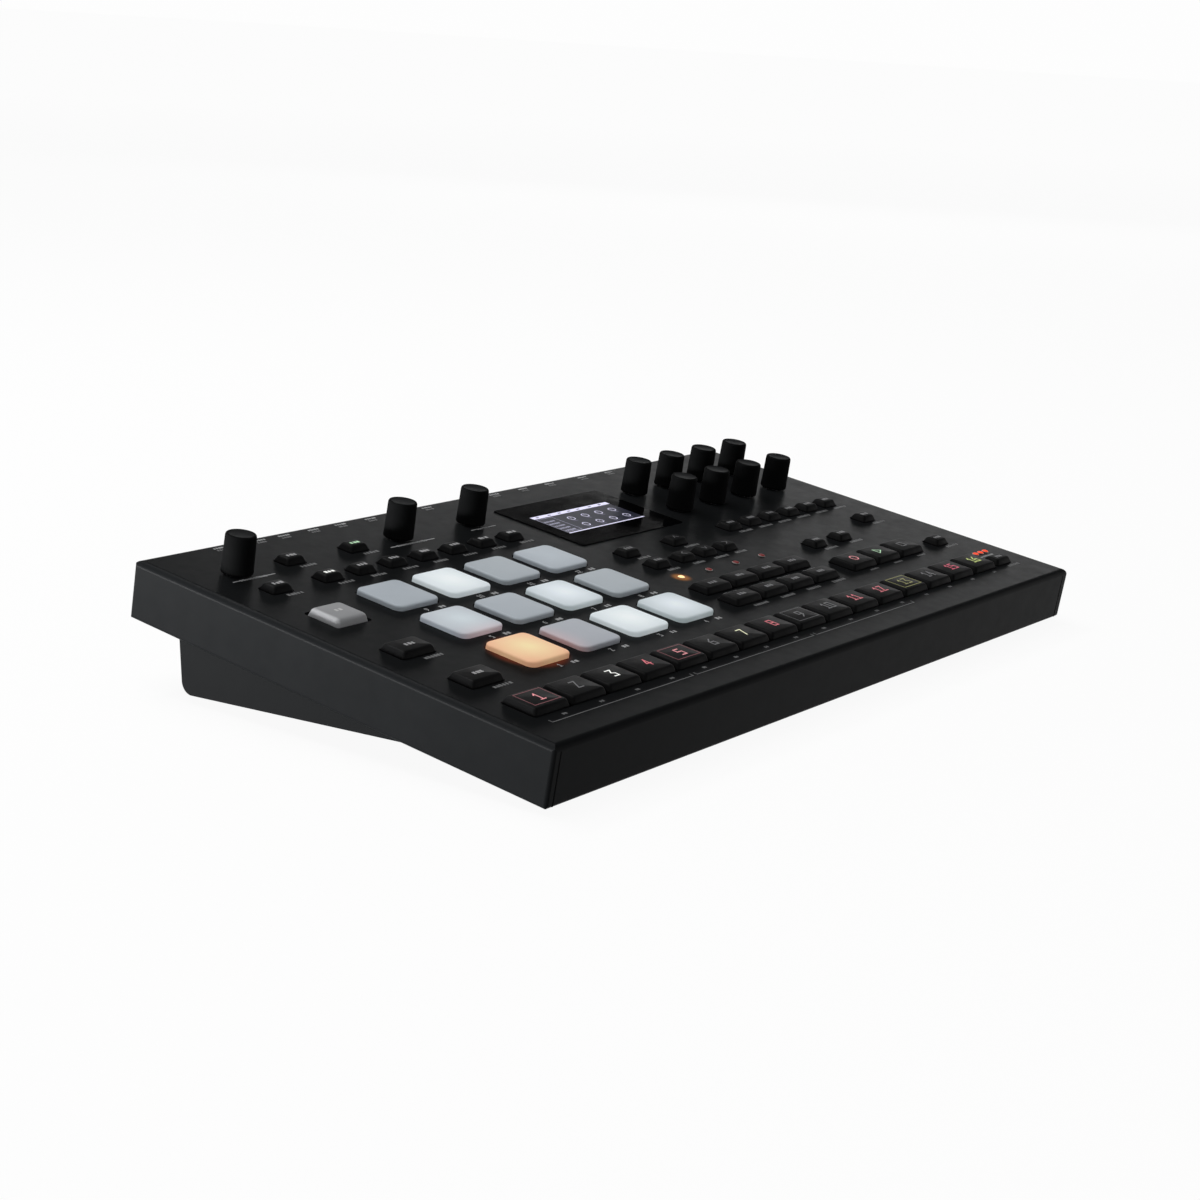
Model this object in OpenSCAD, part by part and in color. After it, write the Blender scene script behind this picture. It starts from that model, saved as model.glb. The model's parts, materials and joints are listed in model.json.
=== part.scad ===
// Table-top drum machine: a thin folded top case on a wedge-shaped base.
//
// The panel frame has x to the right from the left wall, y to the rear from
// the front wall and z out of the panel, with z = 0 on the panel's surface.
// on_panel() turns it by the tilt and stands it on its feet.

/* [Case] */
// Width of the top case
case_w = 340; // [336:1:380]
// Slant length of the top case
case_d = 180; // [178:1:200]
// Height of the top case walls
case_h = 20.5; // [20:0.5:26]
// Thickness of the steel sheet
sheet_t = 1.5; // [1.2:0.1:2]
// Outer radius of the folded edges
bend_r = 2.2; // [1.6:0.1:3]
// Radius of the lower corners of the case
corner_r = 1.2; // [0.6:0.1:1.2]
// Slope of the panel in degrees
tilt = 7; // [5:0.5:8]
// Gap between the case's front edge and the table
ground_gap = 2; // [1.8:0.1:3]

/* [Base] */
// Distance from the front at which the wedge starts
wedge_front_y = 57.6; // [50:1:66]
// Distance from the front of the wedge's rear bottom corner
wedge_foot_y = 152.6; // [148:0.5:154]
// Distance from the front at which the wedge meets the case again
wedge_rear_y = 156.6; // [155:0.5:160]
// Depth of the wedge below the case
wedge_drop = 18; // [16:0.5:19]
// Radius of the wedge's rear bottom corner
wedge_r = 4.5; // [3:0.5:6]
// Step between the case's side and the wedge's side
wedge_inset = 1; // [0.5:0.1:1.2]
// Height of the base's side flanges inside the case
flange_h = 8; // [5:1:9]
// Play between the base and the case walls
base_play = 0.3; // [0.2:0.05:0.5]

/* [Feet] */
// Diameter of a rubber foot
foot_d = 14; // [10:1:18]
// Distance of the feet from the side walls
foot_side = 26; // [22:1:40]
// Distance of the front feet from the front
foot_front_y = 22; // [20:1:30]
// Distance of the rear feet from the front
foot_rear_y = 138; // [120:1:140]

/* [Step pads] */
// Side of a drum pad
pad_w = 21; // [19:0.2:22]
// Corner radius of a pad
pad_r = 2.6; // [2:0.2:5]
// Height of a pad above the panel
pad_h = 2; // [1.5:0.1:4]
// Travel of a pad
pad_travel = 0.9; // [0.5:0.1:1]
// Place of the first pad from the left
pad_x = 54.4; // [54:0.1:55]
// Place of the first pad row from the front
pad_y = 54.8; // [54:0.1:55.5]
// Pitch of the pad columns
pad_pitch_x = 27.6; // [27:0.1:28]
// Pitch of the pad rows
pad_pitch_y = 28.3; // [27.5:0.1:28.6]

/* [Keys] */
// Travel of every key
key_travel = 0.8; // [0.5:0.1:1]
// Height of the keys above the panel
key_h = 2.4; // [1.5:0.1:4]
// Corner radius of the keys
key_r = 1; // [0.6:0.1:1.5]
// Chamfer round the top of keys and pads
key_edge = 0.5; // [0.2:0.1:0.8]
// Width of a trig key
trig_w = 17.5; // [16:0.1:17.8]
// Depth of a trig key
trig_d = 13.4; // [12:0.1:14]
// Centre of the first trig key from the left
trig_x = 20.7; // [20.5:0.1:21.5]
// Centre of the trig keys from the front
trig_y = 24.2; // [24:0.1:25]
// Pitch of the trig keys
trig_pitch = 18.7; // [18.6:0.1:18.8]
// Depth of a transport key
play_d = 12.4; // [11:0.1:13]
// Centre of the first transport key from the left
play_x = 252.7; // [252.5:0.1:254]
// Centre of the transport keys from the front
play_y = 51; // [50.5:0.1:51.5]
// Width of a small key
small_w = 9.6; // [8:0.1:11]
// Depth of a small key
small_d = 7.3; // [6:0.1:8.4]
// Width of a wide key
wide_w = 16.8; // [14:0.1:17.1]
// Depth of a wide key
wide_d = 9; // [8:0.1:9.6]
// Pitch of the wide keys
wide_pitch = 18.1; // [18:0.1:18.2]
// Width of the track and pattern keys
bank_w = 15.6; // [13:0.1:16]
// Depth of the track and pattern keys
bank_d = 10.6; // [9:0.1:12]
// Width of the function key
func_w = 15.8; // [14:0.1:17]
// Depth of the function key
func_d = 15.2; // [13:0.1:17]
// Height of the function key above the panel
func_h = 2.4; // [2:0.1:4]

/* [Knobs] */
// Diameter of a knob at its foot
knob_d = 11.1; // [9.5:0.1:11.6]
// Diameter of a knob at its top
knob_top_d = 10.7; // [9:0.1:11.6]
// Height of a knob
knob_h = 13.6; // [9:0.1:16]
// Gap between a knob and the panel
knob_gap = 0.5; // [0.3:0.1:1]
// Diameter of a knob's shaft
shaft_d = 4; // [3:0.1:5]
// Centre of the first data knob from the left
data_x = 244; // [243.5:0.1:245]
// Centre of the front data knobs from the front
data_y = 128.9; // [128.5:0.1:129.5]
// Pitch of the data knobs from left to right
data_pitch_x = 23.55; // [23.4:0.05:23.6]
// Pitch of the data knob rows
data_pitch_y = 23.1; // [22.5:0.1:23.5]

/* [Display] */
// Width of the display glass
glass_w = 65.4; // [60:0.1:65.6]
// Depth of the display glass
glass_d = 44.5; // [42:0.1:45]
// Thickness of the display glass
glass_t = 1.8; // [1.7:0.1:2.5]
// Centre of the display glass from the left
glass_x = 196.6; // [196:0.1:197]
// Centre of the display glass from the front
glass_y = 138.7; // [138:0.1:139]

/* [Sockets] */
// Bore of a 6.35 mm jack socket
jack_bore = 6.5; // [6.4:0.05:6.6]
// Depth of a jack socket's bore
jack_deep = 26; // [20:1:28]
// Diameter of the threaded collar of a jack socket
jack_collar_d = 8.8; // [8:0.1:9]
// Width across the nut of a jack socket
jack_nut_d = 11.6; // [10:0.1:12]
// Length of the collar outside the case
jack_reach = 3.6; // [3:0.1:5]
// Pitch of the row of output jacks
jack_pitch = 14; // [13.5:0.1:14.2]
// Diameter of a round five-pin socket's face
din_d = 13; // [12:0.1:13.5]

/* [Clearances] */
// Play between a key and its opening, all round
key_play = 0.3; // [0.25:0.05:0.4]
// Play between the display glass and its opening, all round
glass_play = 0.15; // [0.1:0.05:0.3]
// Gap between the panel and the flanges of the keys below it
seat_gap = 0.3; // [0.2:0.05:0.4]
// Play between a shaft and the bush it turns in, on the radius
shaft_play = 0.08; // [0.05:0.01:0.1]
// Play between a screw and its hole, on the radius
screw_play = 0.15; // [0.1:0.05:0.3]
// Play between a socket and its opening in the rear wall
socket_play = 0.2; // [0.1:0.05:0.3]

/* [Hidden] */
$fn = 48;
pad_columns = 4;
pad_rows = 3;
trig_count = 16;
play_count = 3;
eps = 0.01;

// Levels under the panel, from the top down.
under_z = -sheet_t;
collar_t = 1;
collar_top = under_z - seat_gap;
collar_bottom = collar_top - collar_t;
key_lip = 0.8;
board_gap = 5;
board_t = 1.6;
board_z = under_z - board_gap;
board_bottom = board_z - board_t;
switch_h = 1.3;
switch_w = 6;
sensor_w = 18;
sensor_h = 0.6;
contact_gap = 0.3;
module_t = 2.6;
encoder_w = 10;
plate_top = -case_h + sheet_t;
inner_r = 0.2;

// Centres of the small keys, [x, y] in the panel frame.
mode_keys = [for (i = [0:6]) [46.8 + 16.2 * i, 136.3]];
corner_keys = [[22.2, 136.2], [47.3, 154.8], [78.4, 154.4]];
bank_keys = [[19.6, 75.3], [20.2, 47.6]];
func_key = [22, 107.8];
arrow_keys = [[203.2, 102.4], [189, 88.4], [203.2, 88.4], [217.4, 88.4]];
choice_keys = [[172.4, 102.4], [172.4, 88.4]];
page_keys = [for (i = [0:5]) [243.1 + 14.5 * i, 103.5]];
side_keys = [[313.6, 82.8], [259, 72.9], [278.3, 72.9], [315.6, 48.8]];
turn_key = [318, 21.4];
wide_x = 169.7;
wide_rows = [62, 48.9];
wide_keys = [for (y = wide_rows) for (i = [0:3]) [wide_x + wide_pitch * i, y]];

// Centres of the rest.
volume_at = [21.5, 154];
tempo_at = [103.4, 155.6];
level_at = [143.3, 155.1];
led_d = 2.8;
led_rise = 0.2;
bank_leds = [for (i = [0:3]) [wide_x + wide_pitch * i, wide_rows[0] + 13.2]];
turn_leds = [for (i = [0:3]) [314 + 4.1 * i, 31.2]];

left_small = concat(mode_keys, corner_keys);
cursor_small = concat(arrow_keys, choice_keys);
right_small = concat(page_keys, side_keys);
small_keys = concat(left_small, cursor_small, right_small);
turn_w = 12.4;
switch_places = concat(
    small_keys, bank_keys, [func_key, turn_key], wide_keys,
    [for (n = [1:trig_count]) trig_at(n)], [for (n = [1:play_count]) play_at(n)]
);

// The wedge's outline in the panel frame, from the side: its front point, its
// rear bottom corner and its rear top point.
wedge_a = [wedge_front_y, -case_h];
wedge_c = [wedge_foot_y, -case_h - wedge_drop];
wedge_e = [wedge_rear_y, -case_h];
slope = atan(wedge_drop / (wedge_foot_y - wedge_front_y));
rear_slope = atan(wedge_drop / (wedge_rear_y - wedge_foot_y));

// How far the case reaches to the front and the rear of the panel frame's
// origin once it is tilted, and how high that origin stands.
front_reach = bend_r * (cos(tilt) + sin(tilt) - 1);
socket_board_t = 1.6;
socket_board_d = 24;
socket_board_in = 20;
socket_z = plate_top + socket_board_t;
jack_top = board_bottom - 0.3;
jack_z = (jack_top + socket_z) / 2;
rear_reach = (case_d + jack_reach) * cos(tilt) - (jack_z - jack_collar_d / 2) * sin(tilt);
lift = ground_gap + case_h * cos(tilt) - corner_r * (cos(tilt) + sin(tilt) - 1);
back = -(front_reach + rear_reach) / 2;

// Sockets along the rear wall, from the left.
jack_w = 12.4;
jack_nut_t = 2;
jack_xs = concat([35], [for (i = [0:4]) 54 + jack_pitch * i], [143]);
din_xs = [183, 201, 219];
roof_gap = 0.7;
din_body = [17, 13, under_z - roof_gap - socket_z];
usb_x = 240.3;
usb_body = [12, 13.4, 10.8];
usb_hole = [8.4, 9, 7.8];
usb_tongue = [5.6, 3.2];
dc_x = 258.8;
dc_body = [9, 13, 11];
dc_bore = 6.4;
dc_pin = 2;
rocker_x = 284;
rocker_body = [15, 12, 11];
rocker_w = 11.4;
pocket_h = 9.2;
rocker_lean = 7;
rocker_pin_d = 1.6;
rocker_y = case_d - 2.4;
rocker_z = socket_z + rocker_body[2] / 2;

// Pillars that take the case screws, and bosses that carry the board.
screw_d = 2.9;
screw_long = 5;
screw_head_d = 5.6;
screw_head_h = 1.5;
pillar_d = 7;
boss_d = 5;
boss_in = 6.8;
pillar_in = [12, 8];
pillar_rear_in = 8.5;
pillar_step = (case_w - 2 * pillar_in[0]) / 4;
front_pillars = [for (i = [0:4]) [pillar_in[0] + pillar_step * i, pillar_in[1]]];
rear_pillars = [for (x = [pillar_in[0], 162, case_w - pillar_in[0]]) [x, case_d - pillar_rear_in]];
pillars = concat(front_pillars, rear_pillars);
bosses = concat(
    [for (x = [boss_in, case_w - boss_in], y = [62, 121]) [x, y]],
    [[153, 74], [153, 122], [234.4, 76], [234.4, 117]]
);

// The boards.
board_in = [13, 16.4];
flange_in = 14;
board_x = [boss_in - boss_d / 2, case_w - boss_in + boss_d / 2];
board_y = [board_in[0], case_d - board_in[1]];
flange_y = [flange_in, board_y[1] - 4];
plate_x = [sheet_t + base_play, case_w - sheet_t - base_play];
plate_y = [sheet_t + base_play, case_d - sheet_t - base_play];
bush_d = 6.8;
main_top = -case_h - 2.2;
main_bottom = main_top - board_t;
main_in = [24, 6.6];
main_x = [main_in[0], case_w - main_in[0]];
main_d = 54;
main_y = [wedge_foot_y - main_in[1] - main_d, wedge_foot_y - main_in[1]];
post_d = 6;
post_in = [8, 5];
header = [24, 6];
header_in = 22;
chip = [12, 12, 2];
chip_in = [26, 34];
neck = 0.3;

function unit(v) = v / norm(v);
function trig_at(n) = [trig_x + trig_pitch * (n - 1), trig_y];
function play_at(n) = [play_x + trig_pitch * (n - 1), play_y];
function pad_at(n) = [
    pad_x + pad_pitch_x * ((n - 1) % pad_columns),
    pad_y + pad_pitch_y * floor((n - 1) / pad_columns)
];
function data_at(n) = [
    data_x + data_pitch_x * ((n - 1) % 4),
    data_y + data_pitch_y * (1 - floor((n - 1) / 4))
];
function knob_places() = concat([volume_at, tempo_at, level_at], [for (n = [1:8]) data_at(n)]);

// Puts the panel frame in its place on the table.
module on_panel() {
    translate([0, back, lift])
        rotate([tilt, 0, 0])
            translate([-case_w / 2, 0, 0])
                children();
}

module at(p, z = 0) {
    translate([p[0], p[1], z])
        children();
}

// A rectangle with four round corners, centred.
module round_rect(w, d, r) {
    square([w - 2 * r, d], center = true);
    square([w, d - 2 * r], center = true);
    for (x = [-1, 1], y = [-1, 1])
        translate([x * (w / 2 - r), y * (d / 2 - r)])
            circle(r = r);
}

module round_box(w, d, r, z0, z1) {
    translate([0, 0, z0])
        linear_extrude(z1 - z0)
            round_rect(w, d, r);
}

module block(x, y, z) {
    translate([x[0], y[0], z[0]])
        cube([x[1] - x[0], y[1] - y[0], z[1] - z[0]]);
}

// Extrudes a side outline, drawn in y and z, from x0 to x1.
module side_extrude(x0, x1) {
    translate([x0, 0, 0])
        rotate([90, 0, 90])
            linear_extrude(x1 - x0)
                children();
}

// Extrudes a front outline, drawn in x and z, from y0 to y1.
module front_extrude(y0, y1) {
    translate([0, y1, 0])
        rotate([90, 0, 0])
            linear_extrude(y1 - y0)
                children();
}

// A case outline with two round folds at its top and smaller round corners
// at its bottom, hung from its top left corner.
module fold_outline(w, h, top_r, bottom_r) {
    translate([top_r, -h / 2 - top_r])
        square([w - 2 * top_r, h / 2 + top_r]);
    translate([0, -h / 2])
        square([w, h / 2 - top_r]);
    translate([0, bottom_r - h])
        square([w, h / 2 - bottom_r + eps]);
    translate([bottom_r, -h])
        square([w - 2 * bottom_r, h / 2]);
    for (x = [top_r, w - top_r])
        translate([x, -top_r])
            circle(r = top_r);
    for (x = [bottom_r, w - bottom_r])
        translate([x, bottom_r - h])
            circle(r = bottom_r);
}

// The case as a closed body with round folds, set in by t and h deep, and
// with upright corners of radius r.
module folded_body(t, h, r) {
    fold_r = max(bend_r - t, 0.3);
    intersection() {
        side_extrude(t, case_w - t)
            translate([t, -t])
                fold_outline(case_d - 2 * t, h, fold_r, corner_r);
        front_extrude(t, case_d - t)
            translate([t, -t])
                fold_outline(case_w - 2 * t, h, fold_r, corner_r);
        at([case_w / 2, case_d / 2])
            round_box(case_w - 2 * t, case_d - 2 * t, r, -t - h - 1, 1);
    }
}

// The opening for a key of this size.
module key_hole(w, d, r) {
    round_box(w + 2 * key_play, d + 2 * key_play, r + key_play, under_z - eps, eps);
}

// One opening for a row of keys that stand side by side.
module row_hole(first, count, pitch, w, d) {
    at([first[0] + pitch * (count - 1) / 2, first[1]])
        key_hole(w + pitch * (count - 1), d, key_r);
}

// A key: its cap with a chamfered rim, the collar that holds it under the
// panel and the stem that meets the switch.
module key(w, d, h, collar_w) {
    stem_bottom = board_z + switch_h + contact_gap + key_travel;
    stem_w = switch_w - 2;
    round_box(w, d, key_r, collar_top - eps, h - key_edge);
    round_box(w - 2 * key_edge, d - 2 * key_edge, key_r, h - key_edge - eps, h);
    round_box(collar_w, d + 2 * key_lip, key_r, collar_bottom, collar_top);
    round_box(stem_w, stem_w, 0.5, stem_bottom, collar_bottom + eps);
}

// The wedge's side outline, set in by t.
module wedge_outline(t) {
    up = unit(wedge_a - wedge_c);
    rear = unit(wedge_e - wedge_c);
    half = acos(up * rear) / 2;
    r = wedge_r - t;
    centre = wedge_c + unit(up + rear) * wedge_r / sin(half);
    corner = centre - unit(up + rear) * r / sin(half);
    reach = r / tan(half);
    polygon([
        wedge_a + [t / sin(slope), 0], corner + up * reach,
        corner + rear * reach, wedge_e - [t / sin(rear_slope), 0]
    ]);
    translate(centre)
        circle(r = r);
}

module screw() {
    translate([0, 0, -screw_head_h])
        cylinder(d = screw_head_d, h = screw_head_h);
    cylinder(d = screw_d, h = screw_long);
}

module hex(w, h) {
    cylinder(d = w, h = h, $fn = 6);
}

// Turns a piece drawn upwards so that it points to the rear.
module to_rear(x, y, z) {
    translate([x, y, z])
        rotate([-90, 0, 0])
            children();
}

module top_case() {
    color([0.16, 0.165, 0.17])
        on_panel()
            union() {
                difference() {
                    folded_body(0, case_h, corner_r);
                    folded_body(sheet_t, case_h + 10, inner_r);
                    panel_holes();
                    rear_holes();
                }
                for (p = pillars)
                    at(p)
                        pillar(pillar_d, plate_top);
                for (p = bosses)
                    at(p)
                        pillar(boss_d, board_z);
            }
}

module pillar(d, bottom) {
    hole = screw_long + 0.4 - (bottom == plate_top ? sheet_t : board_t);
    difference() {
        translate([0, 0, bottom])
            cylinder(d = d, h = under_z - bottom + eps);
        translate([0, 0, bottom - eps])
            cylinder(d = screw_d + 2 * screw_play, h = hole);
    }
}

module panel_holes() {
    for (n = [1:pad_columns * pad_rows])
        at(pad_at(n))
            key_hole(pad_w, pad_w, pad_r);
    for (p = small_keys)
        at(p)
            key_hole(small_w, small_d, key_r);
    for (p = bank_keys)
        at(p)
            key_hole(bank_w, bank_d, key_r);
    at(func_key)
        key_hole(func_w, func_d, key_r);
    at(turn_key)
        key_hole(turn_w, small_d, key_r);
    row_hole(trig_at(1), trig_count, trig_pitch, trig_w, trig_d);
    row_hole(play_at(1), play_count, trig_pitch, trig_w, play_d);
    for (y = wide_rows)
        row_hole([wide_x, y], 4, wide_pitch, wide_w, wide_d);
    for (p = knob_places())
        at(p, under_z - eps)
            cylinder(d = bush_d + 2 * screw_play, h = sheet_t + 2 * eps);
    for (p = concat(bank_leds, turn_leds))
        at(p, under_z - eps)
            cylinder(d = led_d + 2 * screw_play, h = sheet_t + 2 * eps);
    at([glass_x, glass_y])
        round_box(glass_w + 2 * glass_play, glass_d + 2 * glass_play, key_r, under_z - eps, eps);
}

module rear_holes() {
    for (x = jack_xs)
        rear_bore(x, jack_z, jack_collar_d + 2 * socket_play);
    for (x = din_xs)
        rear_bore(x, socket_z + din_body[2] / 2, din_d + 2 * socket_play);
    rear_bore(dc_x, socket_z + dc_body[2] / 2, dc_bore + 2);
    rear_window(usb_x, usb_body[0] - 1, socket_z + usb_body[2] / 2, usb_body[2] - 1);
    rear_window(rocker_x, rocker_body[0] + 2 * socket_play, rocker_z, rocker_body[2] + 2 * socket_play);
}

module rear_bore(x, z, d) {
    to_rear(x, case_d - sheet_t - eps, z)
        cylinder(d = d, h = sheet_t + 2 * eps);
}

module rear_window(x, w, z, h) {
    block([x - w / 2, x + w / 2], [case_d - sheet_t - eps, case_d + eps], [z - h / 2, z + h / 2]);
}

module base_case() {
    color([0.2, 0.205, 0.21])
        on_panel()
            union() {
                difference() {
                    union() {
                        side_extrude(wedge_inset, case_w - wedge_inset)
                            wedge_outline(0);
                        block(plate_x, plate_y, [-case_h, plate_top]);
                        block(plate_x, [wedge_front_y + 5, wedge_rear_y - 1], [-case_h - neck, plate_top]);
                        for (x = [plate_x[0], plate_x[1] - sheet_t])
                            block([x, x + sheet_t], flange_y, [-case_h, -case_h + flange_h]);
                    }
                    wedge_hollow();
                    for (p = pillars)
                        at(p, -case_h - eps)
                            cylinder(d = screw_d + 2 * screw_play, h = sheet_t + 2 * eps);
                }
                board_posts();
            }
}

module wedge_hollow() {
    front = wedge_front_y + sheet_t / sin(slope);
    side_extrude(wedge_inset + sheet_t, case_w - wedge_inset - sheet_t)
        wedge_outline(sheet_t);
    block(
        [plate_x[0] + sheet_t, plate_x[1] - sheet_t],
        [front, wedge_rear_y - 2 * sheet_t],
        [-case_h - neck - eps, plate_top + eps]
    );
}

module board_posts() {
    difference() {
        for (x = [main_x[0] + post_in[0], case_w / 2, main_x[1] - post_in[0]])
            for (y = [main_y[0] + post_in[1], main_y[1] - post_in[1]])
                at([x, y], -case_h - wedge_drop)
                    cylinder(d = post_d, h = main_bottom + case_h + wedge_drop);
        below_wedge(sheet_t / 2);
    }
}

// All that lies under the wedge's bottom plate, moved up by t.
module below_wedge(t) {
    side_extrude(-10, case_w + 10)
        polygon([
            wedge_a + [0, t], wedge_c + [0, t], wedge_c + [40, t - 40 * tan(slope)],
            [wedge_foot_y + 40, -case_h - 60], [wedge_front_y, -case_h - 60]
        ]);
}

module rubber_feet() {
    color([0.09, 0.09, 0.09])
        difference() {
            for (x = [foot_side, case_w - foot_side], y = [foot_front_y, foot_rear_y])
                translate([x - case_w / 2, back + y * cos(tilt) + case_h * sin(tilt), 0])
                    cylinder(d = foot_d, h = 14);
            on_panel()
                side_extrude(-10, case_w + 10)
                    polygon([
                        [-20, -case_h], wedge_a, wedge_c, wedge_c + [40, -40 * tan(slope)],
                        [case_d + 20, 20], [-20, 20]
                    ]);
        }
}

module case_screws() {
    color([0.12, 0.12, 0.12])
        on_panel()
            union() {
                for (p = pillars)
                    at(p, -case_h)
                        screw();
                for (p = bosses)
                    at(p, board_bottom)
                        screw();
            }
}

module display_window() {
    color([0.02, 0.02, 0.03])
        on_panel()
            at([glass_x, glass_y])
                round_box(glass_w, glass_d, key_r - glass_play, under_z, under_z + glass_t);
}

module display_module() {
    color([0.1, 0.22, 0.3])
        on_panel()
            at([glass_x, glass_y])
                union() {
                    round_box(glass_w - 4, glass_d - 4, 1, under_z - module_t, under_z);
                    for (x = [-1, 1], y = [-1, 1])
                        translate([x * (glass_w / 2 - 6), y * (glass_d / 2 - 6), board_z])
                            cylinder(d = 4, h = board_gap - module_t + eps);
                }
}

module control_board() {
    color([0.1, 0.3, 0.16])
        on_panel()
            difference() {
                block(board_x, board_y, [board_bottom, board_z]);
                for (p = bosses)
                    at(p, board_bottom - eps)
                        cylinder(d = screw_d + 2 * screw_play, h = board_t + 2 * eps);
            }
}

module board_components() {
    color([0.75, 0.75, 0.72])
        on_panel()
            union() {
                for (p = switch_places)
                    at(p)
                        round_box(switch_w, switch_w, 0.5, board_z, board_z + switch_h);
                for (n = [1:pad_columns * pad_rows])
                    at(pad_at(n))
                        round_box(sensor_w, sensor_w, 1, board_z, board_z + sensor_h);
                for (p = concat(bank_leds, turn_leds))
                    at(p, board_z)
                        cylinder(d = led_d, h = led_rise - board_z);
            }
}

module rotary_encoders() {
    color([0.6, 0.6, 0.62])
        on_panel()
            for (p = knob_places())
                at(p)
                    difference() {
                        union() {
                            round_box(encoder_w, encoder_w, 0.5, board_z, collar_top);
                            translate([0, 0, collar_top - eps])
                                cylinder(d = bush_d, h = -collar_top);
                        }
                        translate([0, 0, board_z + 0.5])
                            cylinder(d = shaft_d + 2 * shaft_play, h = -board_z);
                    }
}

module main_board() {
    color([0.1, 0.3, 0.16])
        on_panel()
            union() {
                block(main_x, main_y, [main_bottom, main_top]);
                block(
                    [(case_w - header[0]) / 2, (case_w + header[0]) / 2],
                    [main_y[0] + header_in, main_y[0] + header_in + header[1]],
                    [main_top - eps, board_bottom]
                );
                for (x = [main_x[0] + chip_in[0]:2 * chip[0]:main_x[1] - chip_in[0]])
                    at([x, main_y[0] + chip_in[1]], main_top - eps)
                        cube(chip);
            }
}

module audio_jacks() {
    wall = case_d - sheet_t;
    color([0.1, 0.1, 0.1])
        on_panel()
            for (x = jack_xs)
                difference() {
                    union() {
                        block(
                            [x - jack_w / 2, x + jack_w / 2],
                            [wall - jack_deep - 1, wall],
                            [socket_z, jack_top]
                        );
                        to_rear(x, wall - eps, jack_z)
                            cylinder(d = jack_collar_d, h = sheet_t + jack_reach + eps);
                        to_rear(x, case_d, jack_z)
                            hex(jack_nut_d, jack_nut_t);
                    }
                    to_rear(x, wall - jack_deep, jack_z)
                        cylinder(d = jack_bore, h = jack_deep + sheet_t + jack_reach + eps);
                }
}

module rear_sockets() {
    wall = case_d - sheet_t;
    color([0.14, 0.14, 0.14])
        on_panel()
            union() {
                difference() {
                    block(
                        [socket_board_in, case_w - socket_board_in],
                        [wall - socket_board_d, wall - 0.5],
                        [plate_top, socket_z]
                    );
                    at(rear_pillars[1], plate_top - eps)
                        cylinder(d = pillar_d + 1, h = socket_board_t + 2 * eps);
                }
                for (x = din_xs)
                    din_socket(x, wall);
                usb_socket(wall);
                dc_socket(wall);
                rocker_housing(wall);
            }
}

// A block of this size that stands on the socket board behind the wall.
module socket_block(x, size, wall) {
    block([x - size[0] / 2, x + size[0] / 2], [wall - size[1], wall], [socket_z, socket_z + size[2]]);
}

module din_socket(x, wall) {
    z = socket_z + din_body[2] / 2;
    difference() {
        union() {
            socket_block(x, din_body, wall);
            to_rear(x, wall - eps, z)
                cylinder(d = din_d, h = sheet_t);
        }
        for (a = [0, 45, 90, 135, 180])
            to_rear(x + 4.2 * cos(a), wall - 6, z - 4.2 * sin(a))
                cylinder(d = 1.8, h = 8);
    }
}

module usb_socket(wall) {
    z = socket_z + usb_body[2] / 2;
    difference() {
        socket_block(usb_x, usb_body, wall);
        block(
            [usb_x - usb_hole[0] / 2, usb_x + usb_hole[0] / 2],
            [wall - usb_hole[1], wall + 1],
            [z - usb_hole[2] / 2, z + usb_hole[2] / 2]
        );
    }
    block(
        [usb_x - usb_tongue[0] / 2, usb_x + usb_tongue[0] / 2],
        [wall - usb_hole[1] - 1, wall - 0.5],
        [z - usb_tongue[1] / 2, z + usb_tongue[1] / 2]
    );
}

module dc_socket(wall) {
    z = socket_z + dc_body[2] / 2;
    difference() {
        socket_block(dc_x, dc_body, wall);
        to_rear(dc_x, wall - 10, z)
            cylinder(d = dc_bore, h = 11);
    }
    to_rear(dc_x, wall - 11, z)
        cylinder(d = dc_pin, h = 10);
}

module rocker_housing(wall) {
    pocket_w = rocker_w + 2 * seat_gap;
    difference() {
        union() {
            socket_block(rocker_x, rocker_body, wall);
            socket_block(rocker_x, [rocker_body[0], sheet_t + 2, rocker_body[2]], case_d + 1);
        }
        block(
            [rocker_x - pocket_w / 2, rocker_x + pocket_w / 2],
            [case_d - 6, case_d + 2],
            [rocker_z - pocket_h / 2, rocker_z + pocket_h / 2]
        );
        rocker_pin(rocker_w + 2, rocker_pin_d + 2 * shaft_play);
    }
}

module rocker_pin(w, d) {
    translate([rocker_x - w / 2, rocker_y, rocker_z])
        rotate([0, 90, 0])
            cylinder(d = d, h = w);
}

module power_rocker() {
    color([0.08, 0.08, 0.08])
        on_panel()
            union() {
                translate([rocker_x - rocker_w / 2, rocker_y, rocker_z])
                    rotate([rocker_lean, 0, 0])
                        side_extrude(0, rocker_w)
                            polygon([[-2.8, -2.4], [3.6, -3.8], [2.8, 0], [3.6, 3.8], [-2.8, 2.4]]);
                rocker_pin(rocker_w + 1.6, rocker_pin_d);
            }
}

// A pad: its cap with a chamfered rim, its collar and the block that presses
// on its sensor.
module drum_pad(n) {
    stem_bottom = board_z + sensor_h + contact_gap + pad_travel;
    inner = pad_w - 2 * key_edge;
    color([0.62, 0.64, 0.66])
        on_panel()
            at(pad_at(n))
                union() {
                    round_box(pad_w, pad_w, pad_r, collar_top - eps, pad_h - key_edge);
                    round_box(inner, inner, pad_r - key_edge, pad_h - key_edge - eps, pad_h);
                    round_box(pad_w + 2 * key_lip, pad_w + 2 * key_lip, pad_r, collar_bottom, collar_top);
                    round_box(sensor_w, sensor_w, 1, stem_bottom, collar_bottom + eps);
                }
}

module trig_key(n) {
    color([0.1, 0.1, 0.105])
        on_panel()
            at(trig_at(n))
                key(trig_w, trig_d, key_h, trig_w);
}

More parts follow.
